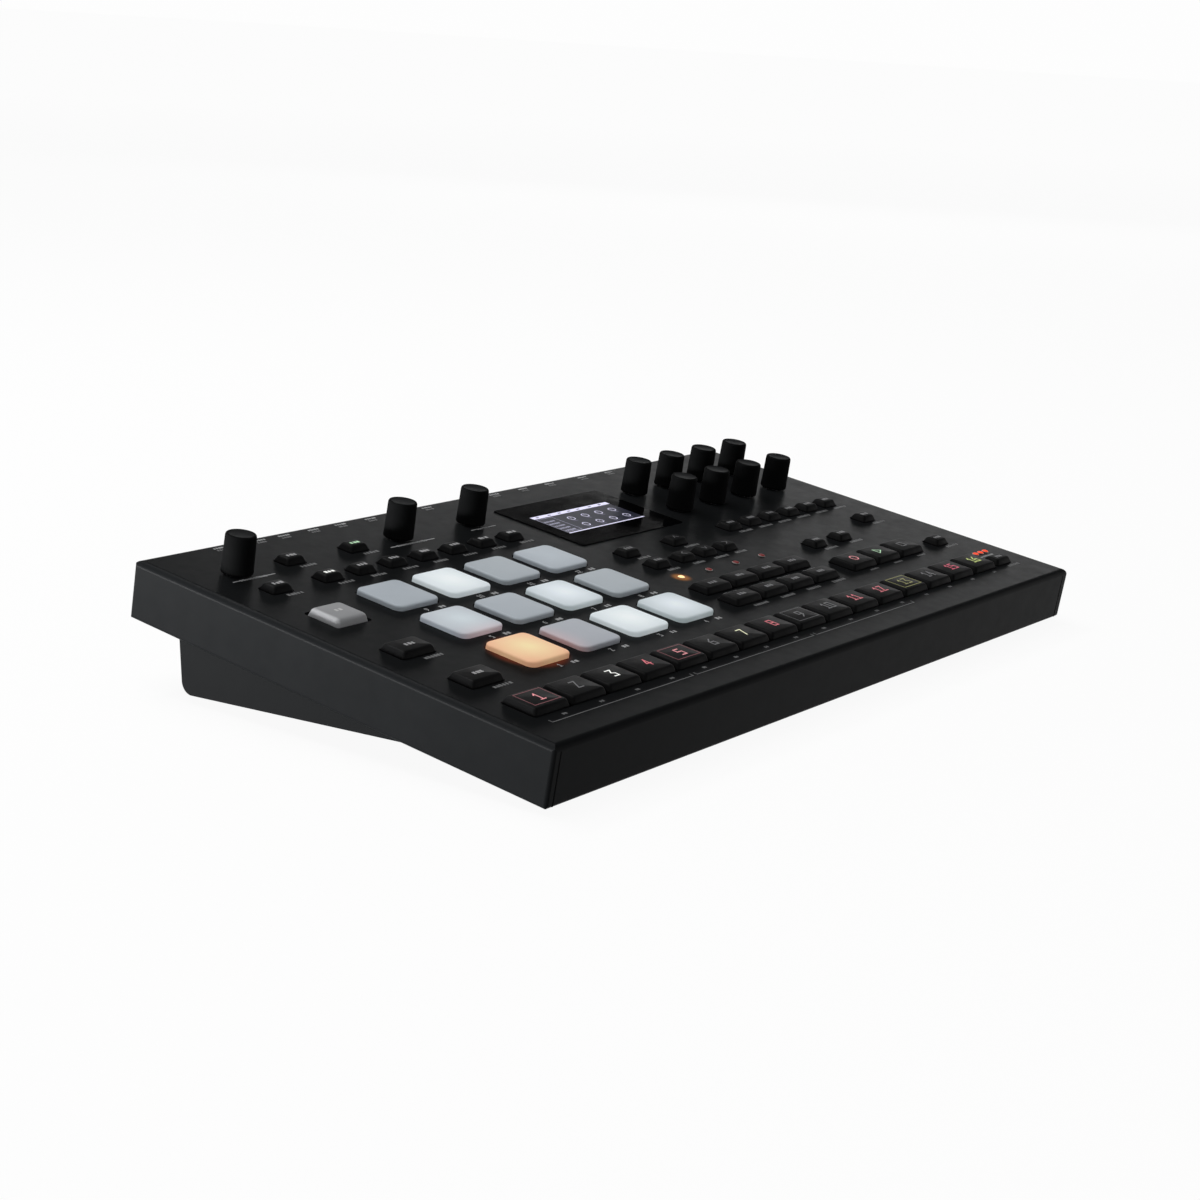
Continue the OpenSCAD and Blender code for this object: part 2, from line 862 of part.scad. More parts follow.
module transport_key(n) {
    color([0.1, 0.1, 0.105])
        on_panel()
            at(play_at(n))
                key(trig_w, play_d, key_h, trig_w);
}

// A knob with its shaft.
module knob(p) {
    rim = 0.6;
    top = knob_gap + knob_h;
    foot = board_z + 0.8;
    color([0.06, 0.06, 0.065])
        on_panel()
            at(p)
                union() {
                    rotate_extrude()
                        polygon([
                            [0, knob_gap], [knob_d / 2, knob_gap],
                            [knob_top_d / 2, top - rim],
                            [knob_top_d / 2 - rim, top], [0, top]
                        ]);
                    translate([0, 0, foot])
                        cylinder(d = shaft_d, h = knob_gap - foot + eps);
                }
}

module small_group(places) {
    for (p = places)
        at(p)
            key(small_w, small_d, key_h, small_w + 2 * key_lip);
}

module left_keys() {
    color([0.1, 0.1, 0.105])
        on_panel()
            union() {
                small_group(left_small);
                for (p = bank_keys)
                    at(p)
                        key(bank_w, bank_d, key_h, bank_w + 2 * key_lip);
            }
}

module cursor_keys() {
    color([0.1, 0.1, 0.105])
        on_panel()
            small_group(cursor_small);
}

module right_keys() {
    color([0.1, 0.1, 0.105])
        on_panel()
            union() {
                small_group(right_small);
                at(turn_key)
                    key(turn_w, small_d, key_h, turn_w + 2 * key_lip);
            }
}

module wide_key_rows() {
    color([0.1, 0.1, 0.105])
        on_panel()
            for (p = wide_keys)
                at(p)
                    key(wide_w, wide_d, key_h, wide_w);
}

module function_key() {
    color([0.5, 0.5, 0.5])
        on_panel()
            at(func_key)
                key(func_w, func_d, func_h, func_w + 2 * key_lip);
}

top_case();
base_case();
rubber_feet();
case_screws();
display_window();
display_module();
control_board();
board_components();
rotary_encoders();
main_board();
audio_jacks();
rear_sockets();
drum_pad(1);  // pad_1
drum_pad(2);  // pad_2
drum_pad(3);  // pad_3
drum_pad(4);  // pad_4
drum_pad(5);  // pad_5
drum_pad(6);  // pad_6
drum_pad(7);  // pad_7
drum_pad(8);  // pad_8
drum_pad(9);  // pad_9
drum_pad(10);  // pad_10
drum_pad(11);  // pad_11
drum_pad(12);  // pad_12
trig_key(1);  // trig_key_1
trig_key(2);  // trig_key_2
trig_key(3);  // trig_key_3
trig_key(4);  // trig_key_4
trig_key(5);  // trig_key_5
trig_key(6);  // trig_key_6
trig_key(7);  // trig_key_7
trig_key(8);  // trig_key_8
trig_key(9);  // trig_key_9
trig_key(10);  // trig_key_10
trig_key(11);  // trig_key_11
trig_key(12);  // trig_key_12
trig_key(13);  // trig_key_13
trig_key(14);  // trig_key_14
trig_key(15);  // trig_key_15
trig_key(16);  // trig_key_16
transport_key(1);  // record_key
transport_key(2);  // play_key
transport_key(3);  // stop_key
function_key();
left_keys();
cursor_keys();
right_keys();
wide_key_rows();  // wide_keys
knob(volume_at);  // volume_knob
knob(tempo_at);  // tempo_knob
knob(level_at);  // level_knob
knob(data_at(1));  // data_knob_1
knob(data_at(2));  // data_knob_2
knob(data_at(3));  // data_knob_3
knob(data_at(4));  // data_knob_4
knob(data_at(5));  // data_knob_5
knob(data_at(6));  // data_knob_6
knob(data_at(7));  // data_knob_7
knob(data_at(8));  // data_knob_8
power_rocker();
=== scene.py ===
"""Table-top drum machine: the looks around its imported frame, laid out as an add-on."""
import json
import math
import random

import bmesh
import bpy
from bpy.props import FloatProperty, FloatVectorProperty, IntProperty, PointerProperty
from mathutils import Matrix, Vector


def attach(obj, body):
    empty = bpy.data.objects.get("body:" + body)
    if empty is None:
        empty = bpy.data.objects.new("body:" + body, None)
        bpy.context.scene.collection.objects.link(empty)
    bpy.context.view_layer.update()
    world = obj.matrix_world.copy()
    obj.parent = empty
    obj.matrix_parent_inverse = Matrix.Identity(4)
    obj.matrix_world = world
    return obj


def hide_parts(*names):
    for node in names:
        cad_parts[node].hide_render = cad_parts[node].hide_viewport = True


bl_info = {
    "name": "Drum machine",
    "version": (1, 0, 0),
    "blender": (4, 5, 0),
    "location": "3D View > Sidebar > Drum machine",
    "description": "Builds the looks of a table-top drum machine around its frame",
    "category": "Object",
}

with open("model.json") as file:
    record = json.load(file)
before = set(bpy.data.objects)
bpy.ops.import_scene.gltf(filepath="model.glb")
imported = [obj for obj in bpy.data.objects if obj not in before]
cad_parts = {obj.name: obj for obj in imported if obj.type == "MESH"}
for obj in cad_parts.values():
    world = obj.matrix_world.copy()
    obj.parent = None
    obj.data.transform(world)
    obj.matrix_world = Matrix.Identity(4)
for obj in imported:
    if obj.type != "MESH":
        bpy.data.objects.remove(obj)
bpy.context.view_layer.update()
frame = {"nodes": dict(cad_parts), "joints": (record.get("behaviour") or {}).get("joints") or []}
NODES = frame["nodes"]


# ---------------------------------------------------------------- the panel's own frame

def panel_matrix():
    """Takes panel millimetres (x from the left wall, y from the front, z out of the panel) to the world."""
    press = next(j for j in frame["joints"] if j["name"] == "pad_1_press")
    down = Vector(press["axis"])
    turn = Matrix.Rotation(math.atan2(down.y, -down.z), 4, "X")
    flat = [turn.inverted() @ v.co for v in NODES["top_case"].data.vertices]
    corner = Vector((min(v.x for v in flat), min(v.y for v in flat), max(v.z for v in flat)))
    return Matrix.Translation(turn @ corner) @ turn @ Matrix.Scale(0.001, 4)


PANEL = panel_matrix()
LEVEL = PANEL.inverted()


def to_panel(node):
    """A merged copy of a node's mesh in panel millimetres."""
    bm = bmesh.new()
    bm.from_mesh(NODES[node].data)
    bmesh.ops.remove_doubles(bm, verts=bm.verts, dist=1e-6)
    bm.transform(LEVEL)
    return bm


def box_of(points):
    low = Vector([min(p[i] for p in points) for i in range(3)])
    high = Vector([max(p[i] for p in points) for i in range(3)])
    return low, high


def solids(node, above=None):
    """The boxes of a node's separate solids, by row from the front and then from the left.
    With above, only the part over that height counts."""
    bm = to_panel(node)
    left = set(bm.verts)
    boxes = []
    while left:
        todo = [left.pop()]
        group = list(todo)
        while todo:
            for edge in todo.pop().link_edges:
                for vert in edge.verts:
                    if vert in left:
                        left.remove(vert)
                        todo.append(vert)
                        group.append(vert)
        points = [v.co.copy() for v in group if above is None or v.co.z > above]
        if points:
            boxes.append(box_of(points))
    bm.free()
    return sorted(boxes, key=lambda b: (round(b[0].y / 4), b[0].x))


def case_size():
    low, high = box_of([LEVEL @ v.co for v in NODES["top_case"].data.vertices])
    return high - low


CASE = case_size()


# ---------------------------------------------------------------- sizes and colours

def length(name, description, default, low=0.0):
    return FloatProperty(name=name, description=description, default=default, min=low, unit="NONE")


def colour(name, description, default):
    return FloatVectorProperty(name=name, description=description, default=default, size=3,
                               min=0.0, max=1.0, subtype="COLOR")


class DrumShape(bpy.types.PropertyGroup):
    """Shape details, in millimetres."""
    key_draw: length("Key taper", "How far a step key's top is drawn in on each side", 0.85)
    small_draw: length("Small key taper", "How far a small key's top is drawn in on each side", 1.05)
    key_corner: length("Key corner", "Radius of a key's upright corners", 1.1)
    key_rim: length("Key rim", "Radius round a key's top", 0.75)
    pad_draw: length("Pad taper", "How far a pad's top is drawn in on each side", 0.1)
    pad_corner: length("Pad corner", "Radius of a pad's upright corners", 2.9)
    pad_rim: length("Pad rim", "Radius round a pad's top", 0.8)
    pad_crown: length("Pad crown", "How far the middle of a pad stands over its rim", 0.3)
    knob_rim: length("Knob rim", "Radius round a knob's top", 0.55)
    print_rise: length("Print thickness", "Thickness of the printed marks", 0.03)
    stroke: length("Stroke", "Width of the strokes of a lit numeral", 0.5)
    steps: IntProperty(name="Turned steps", description="Steps round a turned piece", default=48, min=12)


class DrumFinish(bpy.types.PropertyGroup):
    """Colours of the finishes."""
    steel: colour("Steel", "Powder-coated steel of the case", (0.0078, 0.0084, 0.0090))
    key: colour("Key", "Moulded key caps", (0.0055, 0.0056, 0.0059))
    knob: colour("Knob", "Soft-touch knobs", (0.0035, 0.0037, 0.0039))
    grey: colour("Function key", "The grey function key", (0.30, 0.305, 0.315))
    ink: colour("Ink", "Printed marks", (0.40, 0.405, 0.41))


class DrumStage(bpy.types.PropertyGroup):
    """Light, floor and camera."""
    overhead: FloatProperty(name="Overhead", description="Power of the overhead softbox", default=11.5,
                            min=0.0, unit="POWER")
    side: FloatProperty(name="Rear softbox", description="Power of the softbox behind the right side",
                        default=4.0, min=0.0, unit="POWER")
    left: FloatProperty(name="Left softbox", description="Power of the softbox beside the left wall",
                        default=16.0, min=0.0, unit="POWER")
    rim: FloatProperty(name="Rim softbox", description="Power of the high softbox that lights the folds",
                       default=7.0, min=0.0, unit="POWER")
    sky: FloatProperty(name="Room", description="Strength of the light of the room's upper part",
                       default=0.03, min=0.0)
    lens: FloatProperty(name="Lens", description="Focal length of the camera", default=66.9, min=1.0,
                        unit="CAMERA")
    eye: FloatVectorProperty(name="Eye", description="Camera's place in panel millimetres", size=3,
                             default=(-490.0, -341.2, 241.9))


# ---------------------------------------------------------------- finishes

def new_finish(name):
    material = bpy.data.materials.new(name)
    material.use_nodes = True
    tree = material.node_tree
    tree.nodes.clear()
    output = tree.nodes.new("ShaderNodeOutputMaterial")
    shader = tree.nodes.new("ShaderNodeBsdfPrincipled")
    tree.links.new(shader.outputs["BSDF"], output.inputs["Surface"])
    place = tree.nodes.new("ShaderNodeTexCoord")
    return material, tree, shader, place.outputs["Object"]


def noise(tree, place, size, detail=3.0, rough=0.55):
    """A noise whose grains are about size metres across."""
    node = tree.nodes.new("ShaderNodeTexNoise")
    node.inputs["Scale"].default_value = 1.0 / size
    node.inputs["Detail"].default_value = detail
    node.inputs["Roughness"].default_value = rough
    tree.links.new(place, node.inputs["Vector"])
    return node.outputs["Fac"]


def spread(tree, value, low, high):
    """Maps 0.3..0.7 of a noise to low..high."""
    node = tree.nodes.new("ShaderNodeMapRange")
    node.inputs["From Min"].default_value = 0.3
    node.inputs["From Max"].default_value = 0.7
    node.inputs["To Min"].default_value = low
    node.inputs["To Max"].default_value = high
    tree.links.new(value, node.inputs["Value"])
    return node.outputs["Result"]


def tinted(tree, value, base, change):
    """A colour that varies by change either side of base."""
    node = tree.nodes.new("ShaderNodeMix")
    node.data_type = "RGBA"
    node.inputs["A"].default_value = (*[c * (1 - change) for c in base], 1)
    node.inputs["B"].default_value = (*[min(1, c * (1 + change)) for c in base], 1)
    tree.links.new(value, node.inputs["Factor"])
    return node.outputs["Result"]


def bumped(tree, shader, height, strength, distance):
    node = tree.nodes.new("ShaderNodeBump")
    node.inputs["Strength"].default_value = strength
    node.inputs["Distance"].default_value = distance
    tree.links.new(height, node.inputs["Height"])
    tree.links.new(node.outputs["Normal"], shader.inputs["Normal"])


def grained(name, base, rough, grain=0.0004, depth=0.00003, strength=0.3, change=0.12, wander=0.06,
            metal=0.0, gloss=0.5):
    """A finish with a fine grain, a slow change of tone and patches that are a little smoother."""
    material, tree, shader, place = new_finish(name)
    broad = noise(tree, place, 0.02, 4.0)
    tree.links.new(tinted(tree, broad, base, change), shader.inputs["Base Color"])
    patches = noise(tree, place, 0.006, 5.0, 0.65)
    tree.links.new(spread(tree, patches, rough - wander, rough + wander), shader.inputs["Roughness"])
    bumped(tree, shader, noise(tree, place, grain, 2.0), strength, depth)
    shader.inputs["Metallic"].default_value = metal
    shader.inputs["Specular IOR Level"].default_value = gloss
    return material


def lit(name, base, glow, strength=1.0):
    """A translucent legend with light behind it, a little uneven along its strokes."""
    material, tree, shader, place = new_finish(name)
    uneven = noise(tree, place, 0.0015, 2.0)
    tree.links.new(tinted(tree, uneven, base, 0.15), shader.inputs["Base Color"])
    tree.links.new(tinted(tree, uneven, glow, 0.22), shader.inputs["Emission Color"])
    shader.inputs["Emission Strength"].default_value = strength
    shader.inputs["Roughness"].default_value = 0.5
    return material


def ball_at(tree, place, centre, radius):
    """One at the centre, falling to nothing at the radius."""
    mapping = tree.nodes.new("ShaderNodeMapping")
    mapping.vector_type = "TEXTURE"
    mapping.inputs["Location"].default_value = centre
    mapping.inputs["Scale"].default_value = (radius, radius, radius)
    tree.links.new(place, mapping.inputs["Vector"])
    ball = tree.nodes.new("ShaderNodeTexGradient")
    ball.gradient_type = "SPHERICAL"
    tree.links.new(mapping.outputs["Vector"], ball.inputs["Vector"])
    return ball.outputs["Fac"]


def between(tree, factor, first, second, blend="MIX"):
    """Mixes two colours, each a tuple or a node's output."""
    node = tree.nodes.new("ShaderNodeMix")
    node.data_type = "RGBA"
    node.blend_type = blend
    for socket, value in (("A", first), ("B", second)):
        if isinstance(value, tuple):
            node.inputs[socket].default_value = (*value, 1)
        else:
            tree.links.new(value, node.inputs[socket])
    if isinstance(factor, float):
        node.inputs["Factor"].default_value = factor
    else:
        tree.links.new(factor, node.inputs["Factor"])
    return node.outputs["Result"]


def haloed(material, centre, start, reach, tone):
    """Paints on a finish, as emission, the light that a near lamp spills: tone up to start from its centre,
    nothing past reach.
    """
    tree = material.node_tree
    shader = next(n for n in tree.nodes if n.type == "BSDF_PRINCIPLED")
    place = next(n for n in tree.nodes if n.type == "TEX_COORD").outputs["Object"]
    fade = tree.nodes.new("ShaderNodeMapRange")
    fade.interpolation_type = "SMOOTHERSTEP"
    fade.inputs["From Max"].default_value = 1 - start / reach
    tree.links.new(ball_at(tree, place, centre, reach * 0.001), fade.inputs["Value"])
    spill = between(tree, fade.outputs["Result"], (0.0, 0.0, 0.0), tone)
    glow = shader.inputs["Emission Color"]
    if glow.is_linked:
        spill = between(tree, 1.0, glow.links[0].from_socket, spill, "ADD")
    tree.links.new(spill, glow)
    shader.inputs["Emission Strength"].default_value = 1.0


def glowing_pad(name, centre, half, base, middle, edge):
    """Silicone with a lamp under its middle: the glow fades from middle to edge."""
    material, tree, shader, place = new_finish(name)
    cloud = noise(tree, place, 0.004, 2.0)
    glow = between(tree, ball_at(tree, place, centre, half), edge, middle)
    tree.links.new(glow, shader.inputs["Emission Color"])
    shader.inputs["Emission Strength"].default_value = 1.0
    tree.links.new(tinted(tree, cloud, base, 0.03), shader.inputs["Base Color"])
    shader.inputs["Roughness"].default_value = 0.55
    shader.inputs["Specular IOR Level"].default_value = 0.35
    bumped(tree, shader, noise(tree, place, 0.0003, 2.0), 0.25, 0.00002)
    return material


# Each lit legend: its own colour, the light behind it and, where it isn't 1, the light's strength.
LIT_LOOKS = {
    "dim": ((0.09, 0.09, 0.094), (0.05, 0.05, 0.052)),
    "pale": ((0.2, 0.2, 0.205), (0.12, 0.12, 0.122)),
    "white": ((0.4, 0.4, 0.39), (0.68, 0.69, 0.66)),
    "pink": ((0.3, 0.14, 0.14), (0.55, 0.2, 0.22)),
    "rose": ((0.25, 0.08, 0.09), (0.44, 0.09, 0.11)),
    "red": ((0.08, 0.02, 0.025), (0.11, 0.03, 0.036)),
    "scarlet": ((0.35, 0.03, 0.01), (0.8, 0.06, 0.02)),
    "yellow_white": ((0.4, 0.4, 0.3), (0.55, 0.56, 0.36)),
    "olive": ((0.1, 0.1, 0.03), (0.16, 0.16, 0.045)),
    "magenta": ((0.25, 0.05, 0.08), (0.45, 0.05, 0.09)),
    "lime": ((0.25, 0.3, 0.1), (0.36, 0.42, 0.12)),
    "green": ((0.2, 0.3, 0.22), (0.3, 0.48, 0.3)),
    "frame_grey": ((0.05, 0.05, 0.052), (0.022, 0.022, 0.024)),
    "amber": ((0.9, 0.5, 0.2), (1.0, 0.62, 0.3), 1.2),
    "ember": ((0.08, 0.01, 0.01), (0.09, 0.008, 0.008)),
    "screen_white": ((0.3, 0.3, 0.35), (0.60, 0.58, 0.76)),
    "screen_mid": ((0.15, 0.15, 0.18), (0.26, 0.26, 0.36)),
    "screen_dim": ((0.06, 0.06, 0.08), (0.07, 0.07, 0.12)),
    "screen_field": ((0.0025, 0.003, 0.008), (0.0025, 0.0035, 0.012)),
    "key_glyph": ((0.45, 0.45, 0.45), (0.10, 0.10, 0.10)),
}

FINISHES = {}


def finish_of(name):
    """The named finish, made when it is first asked for."""
    if name in FINISHES:
        return FINISHES[name]
    if name in LIT_LOOKS:
        FINISHES[name] = lit(name, *LIT_LOOKS[name])
        return FINISHES[name]
    tones = bpy.context.scene.drum_finish
    recipes = {
        "coated_steel": lambda: grained(name, tones.steel, 0.36, 0.00035, 0.00003, 0.3, 0.12, 0.04,
                                        gloss=0.019),
        "base_steel": lambda: grained(name, [c * 0.72 for c in tones.steel], 0.45, 0.00035, 0.00003, 0.35,
                                      0.12, 0.05, gloss=0.022),
        "key_plastic": lambda: grained(name, tones.key, 0.5, 0.00025, 0.00002, 0.4, 0.15, 0.07,
                                       gloss=0.05),
        "grey_plastic": lambda: grained(name, tones.grey, 0.5, 0.00025, 0.00002, 0.4, 0.05, 0.06,
                                        gloss=0.35),
        "soft_touch": lambda: grained(name, tones.knob, 0.8, 0.0003, 0.00003, 0.5, 0.2, 0.08, gloss=0.03),
        # Painted light: the knobs' own soft-touch plastic, four times lighter, stands for the light falling
        # on their tops.
        "knob_top_painted_light": lambda: grained(name, [c * 4 for c in tones.knob], 0.7, 0.0003, 0.00003, 0.5, 0.2, 0.08,
                                     gloss=0.05),
        "rubber": lambda: grained(name, (0.012, 0.012, 0.012), 0.8, 0.0005, 0.00005, 0.6, 0.25, 0.08),
        "black_oxide": lambda: grained(name, (0.03, 0.03, 0.031), 0.38, 0.0002, 0.00001, 0.3, 0.3, 0.1,
                                       metal=0.9),
        "nickel": lambda: grained(name, (0.55, 0.54, 0.52), 0.28, 0.0002, 0.00001, 0.25, 0.1, 0.08,
                                  metal=1.0),
        "jack_plastic": lambda: grained(name, (0.014, 0.014, 0.015), 0.36, 0.0004, 0.00002, 0.3),
        "glass": lambda: grained(name, (0.0010, 0.0010, 0.0012), 0.07, 0.004, 0.000002, 0.05, 0.3, 0.02,
                                 gloss=0.13),
        "board_green": lambda: grained(name, (0.012, 0.075, 0.03), 0.35, 0.0006, 0.00004, 0.5, 0.35, 0.1),
        "component_white": lambda: grained(name, (0.5, 0.49, 0.46), 0.45, 0.0005, 0.00002, 0.3),
        "encoder_metal": lambda: grained(name, (0.42, 0.42, 0.43), 0.35, 0.0003, 0.00001, 0.3, metal=1.0),
        "module_blue": lambda: grained(name, (0.01, 0.03, 0.05), 0.4, 0.0005, 0.00002, 0.3),
        "ink": lambda: grained(name, tones.ink, 0.6, 0.0004, 0.00001, 0.2, 0.3, 0.08, gloss=0.3),
        "ink_faint": lambda: grained(name, [c * 0.42 for c in tones.ink], 0.6, 0.0004, 0.00001, 0.2,
                                     0.4, 0.08, gloss=0.3),
        # Painted shade: near-black strips for the shade in the folded corners' grooves.
        "groove_painted_shade": lambda: grained(name, (0.001, 0.001, 0.001), 0.8, 0.0005, 0.00001, 0.3, gloss=0.02),
        "contact_brass": lambda: grained(name, (0.6, 0.46, 0.2), 0.3, 0.0002, 0.00001, 0.2, 0.12, 0.08,
                                         metal=1.0),
    }
    FINISHES[name] = recipes[name]()
    return FINISHES[name]


# ---------------------------------------------------------------- shapes, in panel millimetres

class Form:
    """Collects the shapes of one piece and turns them into an object."""

    def __init__(self):
        self.bm = bmesh.new()
        self.finishes = []

    def index(self, finish):
        if finish not in self.finishes:
            self.finishes.append(finish)
        return self.finishes.index(finish)

    def add(self, shape, finish, move=(0, 0, 0)):
        """Takes a bmesh in, moved to its place."""
        number = self.index(finish)
        shape.transform(Matrix.Translation(move))
        for face in shape.faces:
            face.material_index = number
        carrier = bpy.data.meshes.new("carrier")
        shape.to_mesh(carrier)
        shape.free()
        self.bm.from_mesh(carrier)
        bpy.data.meshes.remove(carrier)

    def block(self, low, high, finish, turn=0.0):
        size = [h - l for l, h in zip(low, high)]
        middle = [(h + l) / 2 for l, h in zip(low, high)]
        matrix = (Matrix.Translation(middle) @ Matrix.Rotation(turn, 4, "Z") @ Matrix.Diagonal((*size, 1)))
        made = bmesh.ops.create_cube(self.bm, size=1, matrix=matrix)
        number = self.index(finish)
        for face in {f for v in made["verts"] for f in v.link_faces}:
            face.material_index = number

    def stroke(self, start, end, width, z0, z1, finish):
        """A straight bar between two points of a level drawing."""
        run = math.hypot(end[0] - start[0], end[1] - start[1]) + width
        centre = ((start[0] + end[0]) / 2, (start[1] + end[1]) / 2)
        turn = math.atan2(end[1] - start[1], end[0] - start[0])
        self.block((centre[0] - run / 2, centre[1] - width / 2, z0),
                   (centre[0] + run / 2, centre[1] + width / 2, z1), finish, turn)

    def outline(self, low, high, width, z0, z1, finish):
        """A level rectangle drawn with four strokes."""
        corners = [(low[0], low[1]), (high[0], low[1]), (high[0], high[1]), (low[0], high[1])]
        for i in range(4):
            self.stroke(corners[i], corners[(i + 1) % 4], width, z0, z1, finish)

    def ring(self, centre, radius, width, z0, z1, finish, sides=16):
        points = [(centre[0] + radius * math.cos(2 * math.pi * i / sides),
                   centre[1] + radius * math.sin(2 * math.pi * i / sides)) for i in range(sides)]
        for i in range(sides):
            self.stroke(points[i], points[(i + 1) % sides], width, z0, z1, finish)

    def object(self, name, body, slot, *nodes, smooth=35.0, matrix=None):
        """Makes the object, in its place, riding on its body."""
        self.bm.transform(matrix or PANEL)
        bmesh.ops.recalc_face_normals(self.bm, faces=self.bm.faces)
        mesh = bpy.data.meshes.new(name)
        self.bm.to_mesh(mesh)
        self.bm.free()
        for finish in self.finishes:
            mesh.materials.append(finish if isinstance(finish, bpy.types.Material) else finish_of(finish))
        mesh.polygons.foreach_set("use_smooth", [True] * len(mesh.polygons))
        mesh.set_sharp_from_angle(angle=math.radians(smooth))
        piece = bpy.data.objects.new(name, mesh)
        bpy.context.scene.collection.objects.link(piece)
        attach(piece, body)
        if nodes:
            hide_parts(*nodes)
        return piece


def top_edges(bm):
    """The edges round the highest level face."""
    face = max(bm.faces, key=lambda f: (round(f.calc_center_median().z, 4), f.calc_area()))
    return list(face.edges), face


def soft_cap(width, depth, height, foot, draw, corner, rim, corner_steps=4, rim_steps=3, crown=0.0):
    """A moulded cap, centred: a block whose sides draw in to the top, with round corners and rim."""
    bm = bmesh.new()
    bmesh.ops.create_cube(bm, size=1, matrix=Matrix.Translation((0, 0, (height + foot) / 2))
                          @ Matrix.Diagonal((width, depth, height - foot, 1)))
    for vert in bm.verts:
        if vert.co.z > (height + foot) / 2:
            vert.co.x -= math.copysign(draw, vert.co.x)
            vert.co.y -= math.copysign(draw, vert.co.y)
    upright = [e for e in bm.edges if abs(e.verts[0].co.z - e.verts[1].co.z) > 1e-3]
    bmesh.ops.bevel(bm, geom=upright, offset=corner, offset_type="OFFSET", segments=corner_steps,
                    profile=0.5, affect="EDGES", material=-1, clamp_overlap=True)
    edges, _ = top_edges(bm)
    bmesh.ops.bevel(bm, geom=edges, offset=rim, offset_type="OFFSET", segments=rim_steps,
                    profile=0.5, affect="EDGES", material=-1, clamp_overlap=True)
    if crown:
        for vert in bm.verts:
            if vert.co.z > height - rim - 1e-3:
                vert.co.z -= crown
        for shrink, rise in ((0.82, 0.5), (0.72, 0.3), (0.55, 0.2)):
            _, top = top_edges(bm)
            made = bmesh.ops.extrude_discrete_faces(bm, faces=[top])["faces"][0]
            for vert in made.verts:
                vert.co.x *= shrink
                vert.co.y *= shrink
                vert.co.z += crown * rise
    return bm


def turned(profile, steps):
    """A solid of revolution about Z from (radius, height) points."""
    bm = bmesh.new()
    verts = [bm.verts.new((r, 0, z)) for r, z in profile]
    edges = [bm.edges.new(pair) for pair in zip(verts, verts[1:])]
    bmesh.ops.spin(bm, geom=verts + edges, cent=(0, 0, 0), axis=(0, 0, 1), angle=2 * math.pi,
                   steps=steps, use_merge=True, use_duplicate=False)
    bmesh.ops.remove_doubles(bm, verts=bm.verts, dist=1e-4)
    bmesh.ops.recalc_face_normals(bm, faces=bm.faces)
    return bm


def to_rear(shape, x, z):
    """Turns a shape drawn upwards so that it points to the rear, with its heights as the panel's y."""
    shape.transform(Matrix.Translation((x, 0, z)) @ Matrix.Rotation(-math.pi / 2, 4, "X"))
    return shape


def plates(form, middle, half, thick, near, far, finish):
    """Four plates round a rectangular bore that runs to the rear; sizes are (across, upright)."""
    (x, z), (w, h), (tw, th) = middle, half, thick
    for side in (-1, 1):
        edge, inside = x + side * w, x + side * (w - tw)
        form.block((min(edge, inside), near, z - h), (max(edge, inside), far, z + h), finish)
        edge, inside = z + side * h, z + side * (h - th)
        form.block((x - w, near, min(edge, inside)), (x + w, far, max(edge, inside)), finish)


def under_parts(form, node, finish):
    """The collars and stems under the panel, as the frame has them: each level of each solid."""
    bm = to_panel(node)
    levels = sorted({round(v.co.z, 2) for v in bm.verts if v.co.z < -0.5})
    bm.free()
    if len(levels) < 3:
        return
    for low, high in solids(node):
        cx, cy = (low.x + high.x) / 2, (low.y + high.y) / 2
        form.block((low.x, low.y, levels[-2]), (high.x, high.y, levels[-1]), finish)
        half = 9.0 if node.startswith("pad") else 2.0
        form.block((cx - half, cy - half, levels[0]), (cx + half, cy + half, levels[-2]), finish)


# Strokes of the plain numerals, in a box of 1 by 1.
NUMERALS = {
    "0": [[(0, 0), (1, 0), (1, 1), (0, 1), (0, 0)]],
    "1": [[(0.1, 0.78), (0.5, 1), (0.5, 0)], [(0.05, 0), (0.95, 0)]],
    "2": [[(0, 1), (1, 1), (0, 0), (1, 0)]],
    "3": [[(0, 1), (1, 1), (0.4, 0.56), (1, 0.4), (1, 0), (0, 0)]],
    "4": [[(0.72, 0), (0.72, 1), (0, 0.3), (1, 0.3)]],
    "5": [[(1, 1), (0, 1), (0, 0.55), (1, 0.55), (1, 0), (0, 0)]],
    "6": [[(0.9, 1), (0, 0.6), (0, 0), (1, 0), (1, 0.5), (0, 0.5)]],
    "7": [[(0, 1), (1, 1), (0.35, 0)]],
    "8": [[(0, 0), (1, 0), (1, 1), (0, 1), (0, 0)], [(0, 0.52), (1, 0.52)]],
    "9": [[(0.1, 0), (1, 0.4), (1, 1), (0, 1), (0, 0.5), (1, 0.5)]],
}


def numeral(form, text, centre, size, gap, width, z0, z1, finish):
    """Draws a whole number in strokes, centred; size is the width and height of one numeral."""
    total = len(text) * size[0] + (len(text) - 1) * gap
    for i, sign in enumerate(text):
        left = centre[0] - total / 2 + i * (size[0] + gap)
        foot = centre[1] - size[1] / 2
        for line in NUMERALS[sign]:
            points = [(left + x * size[0], foot + y * size[1]) for x, y in line]
            for start, end in zip(points, points[1:]):
                form.stroke(start, end, width, z0, z1, finish)


def dashes(form, left, y, width, height, z0, z1, finish, chance, marks=None):
    """A generic label: a short row of little blocks."""
    pitch = height * 0.95
    count = marks or max(2, int(width / pitch))
    x = left
    for _ in range(count):
        run = pitch * (0.55 + 0.3 * chance.random())
        tall = height * (0.8 + 0.2 * chance.random())
        form.block((x, y - height / 2, z0), (x + run, y - height / 2 + tall, z1), finish)
        x += pitch


# ---------------------------------------------------------------- the pieces

# Heights of the rear wall's sockets, from the panel, and the wall's thickness.
JACK_Z, DIN_Z, USB_Z, ROCKER_Z = -12.9, -9.8, -12.0, -11.9
SHEET = 1.5

